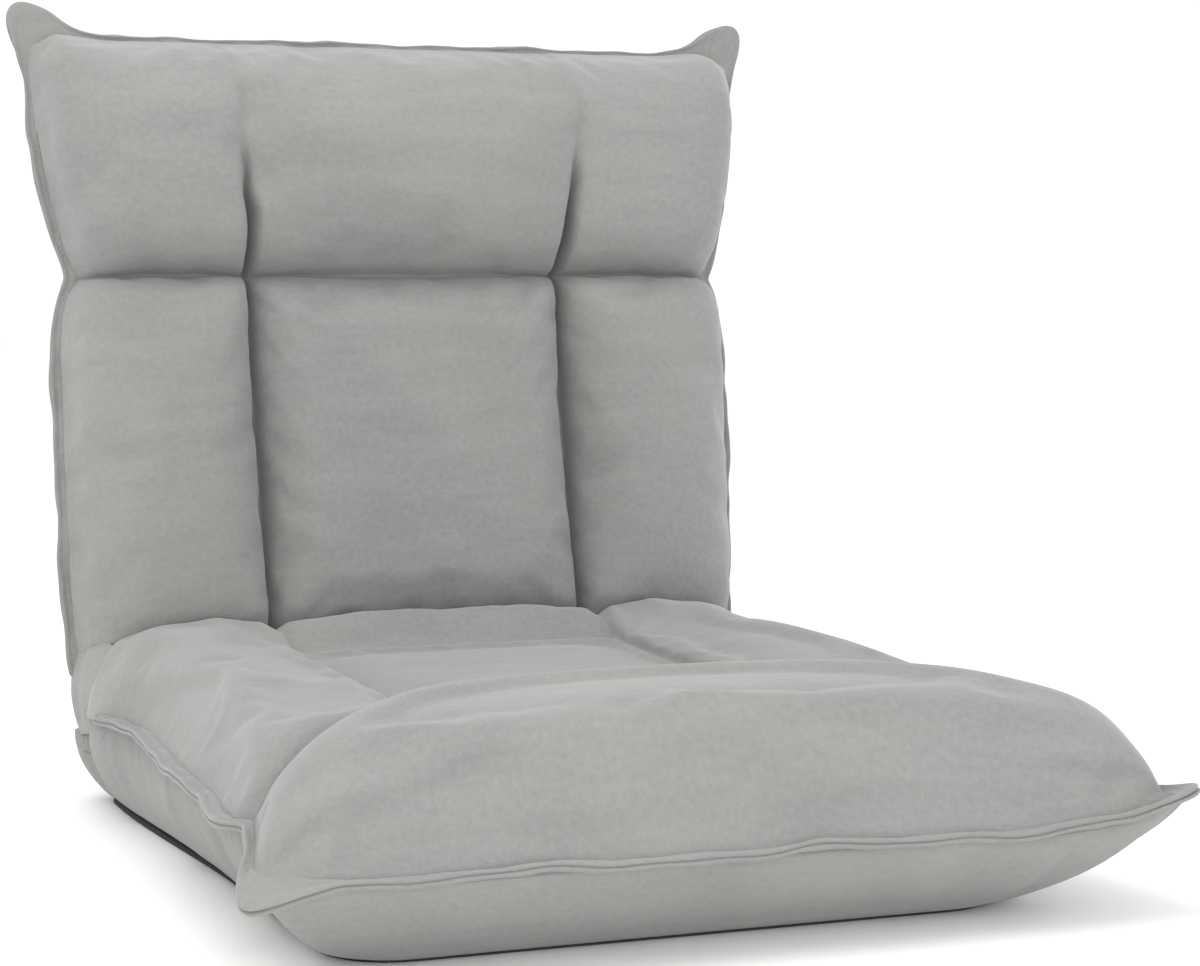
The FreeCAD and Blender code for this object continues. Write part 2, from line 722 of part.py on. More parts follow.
def all_parts():
    parts = {
        "bottom_cloth": bottom_cloth(),
        "base_cover": base_cover(),
        "base_foam": base_foam(),
        "seat_cover": seat_cover(),
        "back_front_cover": back_front_cover(),
        "back_rear_cover": back_rear_cover(),
        "back_rear_foam": back_rear_foam(),
        "seat_frame": seat_frame(),
        "back_frame": back_frame(),
        "seat_cross_tubes": place_seat(cross_tubes(seat_cross_places, -1)),
        "back_cross_tubes": place_back(cross_tubes(back_cross_places, 1)),
        "seat_straps": place_seat(straps(-1)),
        "back_straps": place_back(straps(1)),
        "rear_gusset": rear_gusset(),
        "front_gusset": front_gusset(),
        "seat_felt": seat_felt(),
    }
    parts.update(seat_pads())
    parts.update(back_pads())
    parts.update(hinge("left", 1))
    parts.update(hinge("right", -1))
    return parts


os.makedirs("parts", exist_ok=True)
for name, shape in all_parts().items():
    shape.exportStep("parts/" + name + ".step")
    print(name, len(shape.Solids), round(shape.Volume / 1000, 1), shape.isValid())
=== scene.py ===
# %% [markdown]
# # Folding floor chair
# The chair is a cushioned seat and a cushioned back on two steel frames that turn on a pair of
# ratchet hinges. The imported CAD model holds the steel, the foam and plain covers. This lesson
# sews the covers that show: each one is laid out as a grid of cloth, filled like a real
# cushion by a cloth simulation, and finished with its flange, seams and stitches.

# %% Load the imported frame
import math

import bmesh
import bpy
import numpy as np
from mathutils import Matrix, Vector, noise


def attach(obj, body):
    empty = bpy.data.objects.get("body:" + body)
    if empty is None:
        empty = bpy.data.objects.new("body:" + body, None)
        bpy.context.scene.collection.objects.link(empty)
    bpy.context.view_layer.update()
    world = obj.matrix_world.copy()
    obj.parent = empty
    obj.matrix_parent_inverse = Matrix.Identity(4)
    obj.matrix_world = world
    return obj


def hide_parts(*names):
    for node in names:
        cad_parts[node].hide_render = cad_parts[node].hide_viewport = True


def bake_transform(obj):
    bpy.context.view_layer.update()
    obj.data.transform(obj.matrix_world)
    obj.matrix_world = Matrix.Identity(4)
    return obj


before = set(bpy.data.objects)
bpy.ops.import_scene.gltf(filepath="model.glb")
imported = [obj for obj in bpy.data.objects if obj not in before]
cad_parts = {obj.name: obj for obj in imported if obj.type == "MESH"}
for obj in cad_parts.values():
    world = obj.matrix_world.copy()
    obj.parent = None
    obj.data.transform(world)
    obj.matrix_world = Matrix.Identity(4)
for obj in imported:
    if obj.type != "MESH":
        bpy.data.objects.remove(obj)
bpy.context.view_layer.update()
scene = bpy.context.scene

# %% [markdown]
# ## The photograph's viewpoint
# The camera comes first, because every later choice is judged through it. It stands about two
# metres in front of the chair, to the left, at two thirds of the chair's height, and looks
# slightly down. A long lens keeps the far back and the near roll in proportion.

# %% Camera
MM = 0.001
PHOTO_WIDTH, PHOTO_HEIGHT = 1200, 966
camera_place = (-0.653, -2.051, 0.392)
camera_yaw, camera_pitch = 21.3, -4.3          # degrees from the chair's rear direction, and up
focal_pixels = 2820
middle_pixel = (593, 485.5)
sensor = 36.0

camera_data = bpy.data.cameras.new("photo_camera")
camera = bpy.data.objects.new("photo_camera", camera_data)
scene.collection.objects.link(camera)
camera.location = camera_place
camera.rotation_euler = (math.radians(90 + camera_pitch), 0, math.radians(-camera_yaw))
camera_data.sensor_width = sensor
camera_data.lens = focal_pixels * sensor / PHOTO_WIDTH
camera_data.shift_x = (PHOTO_WIDTH / 2 - middle_pixel[0]) / PHOTO_WIDTH
camera_data.shift_y = (middle_pixel[1] - PHOTO_HEIGHT / 2) / PHOTO_WIDTH
camera_data.clip_end = 60
scene.camera = camera
print("lens", round(camera_data.lens, 1), "mm")

# %% [markdown]
# ## Floor and light
# Suede shows its folds only in soft light that comes from one side more than the other. A large
# lamp hangs above on the left, a second stands low in front, a weak one on the right, and a
# pale sky fills the rest.

# %% Floor and lamps
FLOOR_HALF = 14.0
SKY_COLOUR = (0.99, 0.995, 1.0, 1)
SKY_STRENGTH = 1.06


def plain_floor():
    mesh = bpy.data.meshes.new("floor")
    corners = [(-FLOOR_HALF, -FLOOR_HALF, 0), (FLOOR_HALF, -FLOOR_HALF, 0),
               (FLOOR_HALF, FLOOR_HALF, 0), (-FLOOR_HALF, FLOOR_HALF, 0)]
    mesh.from_pydata(corners, [], [(0, 1, 2, 3)])
    floor = bpy.data.objects.new("floor", mesh)
    scene.collection.objects.link(floor)
    return floor


def soft_lamp(name, place, aim, size, power, colour=(1, 1, 1)):
    lamp = bpy.data.lights.new(name, "AREA")
    lamp.shape = "SQUARE"
    lamp.size = size
    lamp.energy = power
    lamp.color = colour
    stand = bpy.data.objects.new(name, lamp)
    scene.collection.objects.link(stand)
    stand.location = place
    stand.rotation_euler = (Vector(aim) - Vector(place)).to_track_quat("-Z", "Y").to_euler()


floor = plain_floor()
soft_lamp("top_lamp", (-0.9, -0.5, 2.4), (0, -0.2, 0.2), 1.8, 24, (1.0, 0.98, 0.95))
soft_lamp("front_lamp", (-0.7, -3.0, 0.55), (0, -0.2, 0.12), 1.2, 27, (1.0, 0.99, 0.98))
soft_lamp("side_lamp", (2.4, -0.9, 1.2), (0, 0, 0.25), 1.4, 8, (0.96, 0.98, 1.0))
sky = bpy.data.worlds.new("pale_room")
scene.world = sky
sky.use_nodes = True
background = sky.node_tree.nodes["Background"]
background.inputs["Color"].default_value = SKY_COLOUR
background.inputs["Strength"].default_value = SKY_STRENGTH
scene.view_settings.view_transform = "Standard"

# %% [markdown]
# ## Writing shader maths as Python
# A material's pattern is arithmetic on values that change over the surface. The class below
# wraps one socket, so that such arithmetic is written as an ordinary expression, and each
# operator adds its Math node.

# %% Shader maths


class Value:
    """One socket of a material, for use in Python arithmetic."""

    def __init__(self, finish, socket):
        self.finish = finish
        self.socket = socket

    def maths(self, operation, first, second):
        return self.finish.add("ShaderNodeMath", {"operation": operation}, {0: first, 1: second})

    def __add__(self, other):
        return self.maths("ADD", self, other)

    def __radd__(self, other):
        return self.maths("ADD", other, self)

    def __mul__(self, other):
        return self.maths("MULTIPLY", self, other)

    def __rmul__(self, other):
        return self.maths("MULTIPLY", other, self)


class Finish:
    """A node material that is built one node at a time."""

    def __init__(self, name):
        self.material = bpy.data.materials.new(name)
        self.material.use_nodes = True
        self.tree = self.material.node_tree
        self.shader = self.tree.nodes["Principled BSDF"]

    def add(self, kind, settings=None, sockets=None, out=0):
        """One node: settings first, then the value or link of each socket. Returns an output."""
        node = self.tree.nodes.new(kind)
        for key, value in (settings or {}).items():
            setattr(node, key, value)
        for key, value in (sockets or {}).items():
            self.feed(node.inputs[key], value)
        return Value(self, node.outputs[out])

    def feed(self, socket, value):
        if isinstance(value, Value):
            self.tree.links.new(value.socket, socket)
        else:
            socket.default_value = value

    def set(self, **sockets):
        """Values or links of the shader's own sockets, with _ for a space."""
        for key, value in sockets.items():
            self.feed(self.shader.inputs[key.replace("_", " ")], value)

    def ramp(self, factor, stops):
        """A colour or grey ramp through stops of (place, colour)."""
        node = self.tree.nodes.new("ShaderNodeValToRGB")
        elements = node.color_ramp.elements
        while len(elements) > 1:
            elements.remove(elements[-1])
        for index, (place, colour) in enumerate(stops):
            element = elements[0] if index == 0 else elements.new(place)
            element.position = place
            element.color = (*colour, 1)
        self.feed(node.inputs[0], factor)
        return Value(self, node.outputs[0])

    def mix(self, factor, first, second):
        """A colour between two colours."""
        node = self.tree.nodes.new("ShaderNodeMix")
        node.data_type = "RGBA"
        self.feed(node.inputs["Factor"], factor)
        self.feed(node.inputs[6], first if isinstance(first, Value) else (*first, 1))
        self.feed(node.inputs[7], second if isinstance(second, Value) else (*second, 1))
        return Value(self, node.outputs[2])

    def noise(self, place, scale, detail=2.0, rough=0.5):
        sockets = {"Vector": place, "Scale": scale, "Detail": detail, "Roughness": rough}
        return self.add("ShaderNodeTexNoise", {"noise_dimensions": "3D"}, sockets)

    def stretched(self, place, scale):
        """The place with each axis scaled, for a grain that runs one way."""
        return self.add("ShaderNodeMapping", None, {"Vector": place, "Scale": scale})

    def bumped(self, height, distance, strength=1.0, under=None):
        sockets = {"Height": height, "Distance": distance, "Strength": strength}
        if under is not None:
            sockets["Normal"] = under
        return self.add("ShaderNodeBump", None, sockets)


# %% [markdown]
# ## Brushed suede
# The cover is a microfibre suede: short fibres that lie one way where a hand last brushed them.
# It has no gloss, a pale rim where fibres are seen from the side, a cloudy tone a hand wide
# and a fine mottle of a few millimetres. The pattern reads the cloth's own UV map, which is laid
# out in metres, so that the nap follows each panel round its curves.

# %% Suede
CLOTH_MAP = "cloth"
CLOUD_SCALE, MOTTLE_SCALE = 7.0, 210.0         # noise scales, per metre of cloth
BRUSH_GRAIN = (9.0, 42.0, 1.0)
FIBRE_GRAIN = (1500.0, 900.0, 1.0)
DARK_STOP, MIDDLE_STOP, LIGHT_STOP = 0.33, 0.5, 0.68


def suede(name, dark, middle, light, warm, sheen=0.35, grain=1.0):
    finish = Finish(name)
    place = finish.add("ShaderNodeUVMap", {"uv_map": CLOTH_MAP})
    clouds = finish.noise(place, CLOUD_SCALE, 3.0, 0.55)
    brushed = finish.noise(finish.stretched(place, BRUSH_GRAIN), 1.0, 3.0, 0.6)
    mottle = finish.noise(place, MOTTLE_SCALE, 3.0, 0.62)
    fibre = finish.noise(finish.stretched(place, FIBRE_GRAIN), 1.0, 2.0, 0.6)
    tone = clouds * 0.27 + brushed * 0.25 + mottle * 0.36 + fibre * 0.12
    stops = [(DARK_STOP, dark), (MIDDLE_STOP, middle), (LIGHT_STOP, light)]
    colour = finish.ramp(tone, stops)
    tint = finish.noise(place, 3.1, 1.0)
    colour = finish.mix(tint * 0.5, colour, warm)
    worn = mottle * 0.35 + fibre * 0.65
    normal = finish.bumped(fibre, 0.00035 * grain, 0.55)
    normal = finish.bumped(mottle, 0.0006 * grain, 0.5, normal)
    normal = finish.bumped(brushed, 0.0016, 0.35, normal)
    finish.set(Base_Color=colour, Roughness=0.8 + worn * 0.12, Normal=normal)
    finish.set(Sheen_Weight=sheen, Sheen_Roughness=0.45, Sheen_Tint=(0.93, 0.95, 0.94, 1))
    finish.set(Specular_IOR_Level=0.15)
    return finish.material


suede_grey = suede("brushed_suede", dark=(0.184, 0.184, 0.182), middle=(0.236, 0.237, 0.234),
                   light=(0.290, 0.290, 0.284), warm=(0.274, 0.270, 0.254))
# The boxing cloth is warmer than the cover and has a coarser grain, as the real cloth does. Its
# colours are also about an eighth lighter than its own tone: painted light that lifts the shade
# under the flange at the front of the base. The rear panel and the hinge gusset share this
# lightened cloth.
boxing_grey = suede("boxing_suede", dark=(0.215, 0.212, 0.207), middle=(0.268, 0.265, 0.260),
                    light=(0.315, 0.310, 0.302), warm=(0.305, 0.288, 0.277), sheen=0.2, grain=1.5)


def thread(name, colour):
    """Sewing thread: a dull twisted ply."""
    finish = Finish(name)
    place = finish.add("ShaderNodeTexCoord", None, None, "Object")
    twist = finish.noise(place, 2600.0, 2.0)
    shade = finish.mix(twist, [c * 0.75 for c in colour], [min(1, c * 1.15) for c in colour])
    finish.set(Base_Color=shade, Roughness=0.75, Normal=finish.bumped(twist, 0.0001, 0.6))
    return finish.material


grey_thread = thread("grey_thread", (0.30, 0.31, 0.305))
print("cloth finishes:", [m.name for m in bpy.data.materials])

# %% [markdown]
# ## Underside cloth and hardware
# The underside is a black spun cloth pressed into a fine dimple pattern. The steel inside is
# hidden, but it is still finished: black powder paint on the tubes, zinc on the hinges,
# bright rivets, and woven straps.

# %% Underside and hardware finishes


def spun_black():
    finish = Finish("spun_black")
    place = finish.add("ShaderNodeTexCoord", None, None, "Object")
    pits = {"Vector": place, "Scale": 420.0}
    dimples = finish.add("ShaderNodeTexVoronoi", None, pits, "Distance")
    fibres = finish.noise(place, 900.0, 3.0, 0.7)
    colour = finish.mix(fibres, (0.010, 0.010, 0.011), (0.035, 0.035, 0.037))
    normal = finish.bumped(fibres, 0.0002, 0.5, finish.bumped(dimples, 0.0005, 0.8))
    finish.set(Base_Color=colour, Roughness=0.82 + fibres * 0.12, Normal=normal)
    return finish.material


def metal(name, colour, metallic, rough, streak, bump):
    finish = Finish(name)
    place = finish.add("ShaderNodeTexCoord", None, None, "Object")
    grain = finish.noise(finish.stretched(place, streak), 1.0, 3.0, 0.6)
    blotch = finish.noise(place, 60.0, 3.0)
    shade = finish.mix(blotch, [c * 0.8 for c in colour], colour)
    finish.set(Base_Color=shade, Metallic=metallic, Roughness=rough - 0.1 + grain * 0.2)
    finish.set(Normal=finish.bumped(grain, bump, 0.6))
    return finish.material


def webbing():
    finish = Finish("strap_webbing")
    place = finish.add("ShaderNodeTexCoord", None, None, "Object")
    bands = []
    for direction, scale in (("X", 95.0), ("Y", 130.0)):
        sockets = {"Vector": place, "Scale": scale, "Distortion": 0.4}
        bands.append(finish.add("ShaderNodeTexWave", {"bands_direction": direction}, sockets, 1))
    weave = bands[0] * bands[1]
    finish.set(Base_Color=finish.mix(weave, (0.03, 0.03, 0.03), (0.11, 0.11, 0.105)), Roughness=0.8)
    finish.set(Normal=finish.bumped(weave, 0.0004, 0.8))
    return finish.material


FINISH_OF_SLOT = {
    "frame_paint": metal("black_powder_paint", (0.02, 0.02, 0.021), metallic=0.0, rough=0.5,
                         streak=(700, 700, 700), bump=0.0002),
    "hinge_steel": metal("zinc_steel", (0.55, 0.55, 0.52), metallic=1.0, rough=0.42,
                         streak=(60, 900, 900), bump=0.0001),
    "rivet_steel": metal("bright_rivet", (0.62, 0.62, 0.60), metallic=1.0, rough=0.35,
                         streak=(400, 400, 400), bump=0.0001),
    "spring_steel": metal("spring_steel", (0.40, 0.41, 0.43), metallic=1.0, rough=0.3,
                          streak=(900, 90, 900), bump=0.0001),
    "webbing": webbing(),
}
black_cloth = spun_black()
finished = 0
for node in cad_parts.values():
    packed_slot = node.data.materials[0].name.split(".")[0] if node.data.materials else ""
    if packed_slot in FINISH_OF_SLOT:
        node.data.materials.clear()
        node.data.materials.append(FINISH_OF_SLOT[packed_slot])
        finished += 1
print("hardware nodes finished:", finished)

# %% [markdown]
# ## Cloth as a grid
# A sewn cover is cut from flat panels, so a grid of points is its natural mesh: one direction
# runs across the chair and the other along it. Rows and columns crowd together beside each
# seam, where the cloth turns down steeply. The grid keeps a UV map in metres of cloth.

# %% Grid helpers


def spread(marks, counts, crowd=0.75):
    """Places from mark to mark, crowded towards the marks."""
    places = [marks[0]]
    for low, high, count in zip(marks[:-1], marks[1:], counts):
        for step in range(1, count + 1):
            even = step / count
            eased = 0.5 - 0.5 * math.cos(math.pi * even)
            places.append(low + (high - low) * (even + (eased - even) * crowd))
    return np.array(places)


def ease(value):
    value = np.clip(value, 0, 1)
    return value * value * (3 - 2 * value)


def shoulder(distance, width, power):
    """A rounded edge: 0 on the seam, 1 from a width away, and upright at the seam itself."""
    inner = 1 - np.clip(distance / width, 0, 1)
    return (1 - inner ** power) ** (1 / power)


def ripple(places, seed, lengths, heights):
    """A smooth uneven wave along a seam, from a few seeded sines."""
    random = np.random.default_rng(seed)
    total = np.zeros_like(places, dtype=float)
    for length, height in zip(lengths, heights):
        start, stretch = random.uniform(0, 2 * math.pi), random.uniform(0.8, 1.25)
        total += height * np.sin(places * 2 * math.pi * stretch / length + start)
    return total


def grid_faces(rows, columns, flip=False):
    faces = []
    for r in range(rows - 1):
        for c in range(columns - 1):
            a = r * columns + c
            face = (a, a + 1, a + columns + 1, a + columns)
            faces.append(face[::-1] if flip else face)
    return faces


def ring_faces(pairs, columns):
    """Faces between pairs of rings of points that close on themselves."""
    faces = []
    for a, b in pairs:
        for c in range(columns):
            d = (c + 1) % columns
            faces.append((a * columns + c, a * columns + d, b * columns + d, b * columns + c))
    return faces


def neighbours(first, last):
    """Each row from the first to the last, paired with the next."""
    return [(row, row + 1) for row in range(first, last)]


def grid_map(grid):
    """Places on the cloth, in metres, from lengths measured along the rows and columns."""
    across = np.linalg.norm(np.diff(grid, axis=1), axis=2)
    along = np.linalg.norm(np.diff(grid, axis=0), axis=2)
    u = np.concatenate([np.zeros((grid.shape[0], 1)), np.cumsum(across, axis=1)], axis=1)
    v = np.concatenate([np.zeros((1, grid.shape[1])), np.cumsum(along, axis=0)], axis=0)
    u = u - u[:, [grid.shape[1] // 2]]
    return np.stack(np.meshgrid(u.mean(axis=0), v.mean(axis=1)), axis=2)


def make_piece(name, points, faces, material, uv=None):
    """A mesh object in metres from points in millimetres."""
    mesh = bpy.data.meshes.new(name)
    mesh.from_pydata([tuple(p) for p in np.asarray(points) * MM], [], faces)
    if uv is not None:
        layer = mesh.uv_layers.new(name=CLOTH_MAP)
        order = np.zeros(len(mesh.loops), int)
        mesh.loops.foreach_get("vertex_index", order)
        layer.data.foreach_set("uv", (np.asarray(uv)[order] * MM).astype(np.float32).ravel())
    mesh.materials.append(material)
    mesh.shade_smooth()
    piece = bpy.data.objects.new(name, mesh)
    scene.collection.objects.link(piece)
    return piece


def freeze(piece):
    """Turns a piece's modifiers into plain mesh."""
    bpy.context.view_layer.update()
    graph = bpy.context.evaluated_depsgraph_get()
    final = bpy.data.meshes.new_from_object(piece.evaluated_get(graph))
    piece.modifiers.clear()
    piece.data = final
    final.name = piece.name


def settle(piece):
    """Applies one smooth subdivision, so that the mesh is final."""
    smooth = piece.modifiers.new("smooth", "SUBSURF")
    smooth.levels = smooth.render_levels = 1
    smooth.boundary_smooth = "PRESERVE_CORNERS"
    freeze(piece)


def face_outwards(piece):
    """Makes every face point outwards."""
    work = bmesh.new()
    work.from_mesh(piece.data)
    bmesh.ops.recalc_face_normals(work, faces=work.faces)
    work.to_mesh(piece.data)
    work.free()
    piece.data.update()


def sewn_grid(marks, columns, place, is_sewn):
    """Points of a cover, mark by mark, and which of them are sewn down."""
    points = [[place(mark, *column) for column in columns] for mark in marks]
    sewn = [[is_sewn(mark, *column) for column in columns] for mark in marks]
    return np.array(points), np.array(sewn)


def three_parts(seam_x, crowd):
    """Columns across a cover: (-1 or 1, share) outside the two seams, (0, x) between them."""
    side = spread([0, 1], [30])
    middle = spread([-seam_x, seam_x], [44], crowd)
    left, right = [(-1, share) for share in side[::-1]], [(1, share) for share in side]
    return left + [(0, x) for x in middle[1:-1]] + right


# %% [markdown]
# ## Filling a cover
# Foam and fibre push a sewn cover outwards everywhere but at its seams, and because the panels
# are cut a little large, the cloth gathers into puckers beside each seam. A cloth simulation
# does just that: seam points are pinned, pressure pushes from inside, and the cloth is about
# one percent longer than the space it is sewn into. No point may move beyond a set cap.

# %% Cloth simulation


def fill_cover(name, grid, sewn, pressure, slack, steps, cap, stiffness=10.0, bend=0.25):
    """Puffs up a grid whose sewn points stay where they are. No point moves beyond the cap."""
    rows, columns = grid.shape[:2]
    points = grid.reshape(-1, 3)
    cloth_piece = make_piece(name, points, grid_faces(rows, columns), suede_grey)
    group = cloth_piece.vertex_groups.new(name="sewn")
    group.add([int(i) for i in np.flatnonzero(sewn.ravel())], 1.0, "REPLACE")
    cloth = cloth_piece.modifiers.new("filling", "CLOTH")
    settings = cloth.settings
    settings.quality = 5
    settings.mass = 0.25
    settings.tension_stiffness = stiffness
    settings.compression_stiffness = stiffness
    settings.shear_stiffness = stiffness * 0.4
    settings.bending_stiffness = bend
    settings.air_damping = 2.0
    settings.use_pressure = True
    settings.uniform_pressure_force = pressure
    settings.shrink_min = -slack
    settings.vertex_group_mass = "sewn"
    settings.effector_weights.gravity = 0
    cloth.collision_settings.use_collision = False
    for step in range(1, steps + 1):
        scene.frame_set(step)
    result = cloth_piece.evaluated_get(bpy.context.evaluated_depsgraph_get()).to_mesh()
    after = np.zeros(len(points) * 3, np.float32)
    result.vertices.foreach_get("co", after)
    after = after.reshape(-1, 3).astype(float) / MM
    scene.frame_set(1)
    bpy.data.objects.remove(cloth_piece)
    moved = after - points
    length = np.linalg.norm(moved, axis=1, keepdims=True)
    moved *= np.minimum(1, cap / np.maximum(length, 1e-6))
    print(name, "moved up to", round(length.max(), 1), "mm, mean", round(length.mean(), 1))
    return (points + moved).reshape(grid.shape)


# %% [markdown]
# ## The seat pillow's pattern
# Seen from above the pillow has four parts: a full-width front roll, two side bolsters, and a
# lower centre pad with a narrow strip behind it that rises to the back. Its sides draw in
# between the corners, because the filling pulls the sewn edge inwards.

# %% Seat outline and heights
seat_seam_x = 126.0
strip_seam_y = -100.0
roll_seam_y = -430.0
seat_front_y = -597.0
SIDE_Y = [-600, -575, -545, -513, -497, -455, -410, -350, -280, -187, -130, -85, -45, 0]
SIDE_X = [273, 272, 263, 256, 264, 263, 258, 257, 252, 246, 246, 256, 262, 252]
RIGHT_X = [292, 294, 289, 279, 279, 270, 261, 257, 252, 246, 246, 256, 262, 252]
SIDE_Z = [78, 79, 80, 81, 80, 80, 80, 80, 80, 80, 80, 79, 73, 68]
FRONT_X = [-270, -200, -86, 0, 101, 200, 250, 290]
FRONT_Z = [66, 61, 61, 61, 60.5, 60, 62, 68]
CREST_X = [0, 60, 116, 126, 136, 170, 215, 240, 258, 268]
CREST_Z = [142, 143, 138, 132, 139, 144, 138, 128, 113, 100]


def seat_side(y, sign=-1):
    """Half width of the pillow's seam line, on the left or right; the right end is fuller."""
    return np.interp(y, SIDE_Y, SIDE_X if sign < 0 else RIGHT_X)


def border_height(x, y):
    """Height of the sewn edge. In front it hangs low and lifts only at the two corners."""
    side = np.interp(y, SIDE_Y, SIDE_Z)
    front = np.interp(x, FRONT_X, FRONT_Z)
    return side + (front - side) * ease((-y - 500) / 90)


def roll_seam(x):
    """The seam behind the roll runs straight, then sweeps forward to the side edge."""
    return roll_seam_y - 84 * ease((np.abs(x) - 120) / 145)


def front_line(x):
    return seat_front_y + 5 * ease((np.abs(x) - 230 - 12 * (x > 0)) / 45)


def crest_line(x):
    """Where the pillow meets the back: how far forward, and how high."""
    away = np.abs(x)
    y = np.interp(away, [0, 180, 215, 240, 268], [-60, -59, -54, -38, -4])
    return y, np.interp(away, CREST_X, CREST_Z)


print("roll seam at the side:", round(float(roll_seam(np.array(265.0))), 1))

# %% Seat pillow grid


def row_place(mark, x):
    """How far back a row lies: mark 0 at the crest, 1 and 2 at the seams, 3 at the front."""
    strip = strip_seam_y - 25 * ease((abs(x) - 126) / 60)
    return np.interp(mark, [0, 1, 2, 3], [crest_line(x)[0], strip, roll_seam(x), front_line(x)])


def pad_height(x, y, mark, low):
    """The low centre pad, and behind it the strip that rises to the back."""
    near_seam = shoulder(seat_seam_x - abs(x), 60, 2.0)
    if mark >= 1.0:
        near_roll = shoulder(y - roll_seam(x), 45, 2.0)
        near_strip = shoulder(strip_seam_y - y, 60, 2.0)
        return low + 12 * near_seam * near_roll * (0.35 + 0.65 * near_strip)
    rise = ease(1 - mark)
    bulge = 5 * math.sin(math.pi * mark) * near_seam
    return 117 + (crest_line(x)[1] - 117) * rise ** 0.8 + bulge


def bolster_height(x, y, half, border, low):
    """A side bolster, full along its middle; its rear end climbs to the crest."""
    away = abs(x)
    middle = (half - seat_seam_x) / 2
    crown = shoulder(min(away - seat_seam_x, half - away), middle, 1.95)
    near_roll = shoulder(y - roll_seam(x), 55, 2.0)
    top = 142 - 8 * ease((-y - 300) / 130)
    height = low + (top - low) * crown * (0.25 + 0.75 * near_roll)
    rear = border + (crest_line(x)[1] - border) * shoulder(half - away, 28, 2.0)
    return height + (rear - height) * ease((y + 125) / 60.0)


def roll_height(x, y, half, border):
    """The front roll: steep behind, round in front, and rounded off at its ends."""
    roll_y, front_y = roll_seam(x), front_line(x)
    behind = np.interp(abs(x), [0, 126, 265], [108, 106, 84])
    low = behind + (border - behind) * ((roll_y - y) / (roll_y - front_y))
    arch = 154 - (11 if x < 0 else 7) * (x / 200) ** 2
    rear_side = shoulder(roll_y - y, 52, 2.1)
    front_side = shoulder(y - front_y, 98, 2.05)
    end_side = shoulder(half - abs(x), 52, 2.2)
    return low + (arch - low) * rear_side * front_side * end_side


def seat_height(x, y, mark):
    """Height of the filled cover over one point of the plan."""
    border = border_height(x, y)
    half = seat_side(y, x)
    if mark > 2.0:
        return roll_height(x, y, half, border)
    in_bolster = np.clip((abs(x) - seat_seam_x) / (half - seat_seam_x), 0, 1)
    seam_height = np.interp(y, [-430, -360, -215, -100], [108, 113, 115, 117])
    low = seam_height + (border - seam_height) * in_bolster ** 1.3
    if abs(x) < seat_seam_x:
        return pad_height(x, y, mark, low)
    return bolster_height(x, y, half, border, low)


def seat_place(mark, sign, value):
    """One point of the pillow's cover; its side is found in steps, as it depends on the row."""
    x = value if sign == 0 else sign * seat_seam_x
    for _ in range(4):
        y = row_place(mark, x)
        if sign:
            x = sign * (seat_seam_x + (seat_side(y, sign) - seat_seam_x) * value)
    return x, y, seat_height(x, y, mark)


def seat_is_sewn(mark, sign, value):
    on_edge = mark < 0.001 or mark > 2.999 or (sign != 0 and value > 0.999)
    on_bolster = sign != 0 and value < 0.001 and mark <= 2.001
    return on_edge or on_bolster or abs(mark - 2) < 0.001 or (sign == 0 and abs(mark - 1) < 0.001)


seat_marks = spread([0, 1, 2, 3], [9, 54, 36], 0.6)
seat_columns = three_parts(seat_seam_x, 0.55)
seat_points, seat_sewn = sewn_grid(seat_marks, seat_columns, seat_place, seat_is_sewn)
print("seat pillow grid:", seat_points.shape, "sewn points:", int(seat_sewn.sum()))

# %% Seat pillow


def roughen(grid, sewn, size, height, seed):
    """Small seeded unevenness, so that the cloth folds as cloth does and not in straight rows."""
    out = grid.copy()
    for spot in zip(*np.nonzero(~sewn)):
        x, y, z = grid[spot] / size
        out[spot] += height * np.array(noise.noise_vector(Vector((x, y, z + seed))))
    return out


HEM_WIDTH = 2.5
RING_STEP = 0.28


def close_opening(points, uv, faces, edge, level, flip=False):
    """Closes an open edge: a narrow hem, then rings that each have half the points of the last."""
    centre = np.mean([points[i] for i in edge], axis=0)
    hem = []
    for i in edge:
        inward = centre[:2] - points[i][:2]
        spot = np.array(points[i], float)
        spot[:2] += inward * min(1, HEM_WIDTH / max(np.linalg.norm(inward), 1e-6))
        points.append(spot)
        uv.append(spot[:2])
        hem.append(len(points) - 1)
    for i in range(len(edge)):
        j = (i + 1) % len(edge)
        face = (edge[j], edge[i], hem[i], hem[j])
        faces.append(face[::-1] if flip else face)
    outer, depth = hem, 0
    while len(outer) > 12:
        depth += 1
        share = 1 - (1 - RING_STEP) ** depth
        picks = list(range(0, len(outer) - 1, 2))
        inner = []
        for pick in picks:
            spot = np.array([points[outer[pick]]])
            spot[:, :2] = spot[:, :2] + (centre[:2] - spot[:, :2]) * RING_STEP
            points.append(level(spot, share)[0])
            uv.append(points[-1][:2])
            inner.append(len(points) - 1)
        for i, pick in enumerate(picks):
            following = picks[(i + 1) % len(picks)]
            if following <= pick:
                following += len(outer)
            rim = [outer[k % len(outer)] for k in range(pick, following + 1)]
            face = rim[::-1] + [inner[i], inner[(i + 1) % len(inner)]]
            faces.append(tuple(face[::-1] if flip else face))
        outer = inner
    faces.append(tuple(outer if flip else outer[::-1]))


def border_of(rows, columns):
    """Indices round the edge of a grid, in order."""
    top = [c for c in range(columns)]
    right = [r * columns + columns - 1 for r in range(1, rows)]
    bottom = [(rows - 1) * columns + c for c in range(columns - 2, -1, -1)]
    left = [r * columns for r in range(rows - 2, 0, -1)]
    return top + right + bottom + left


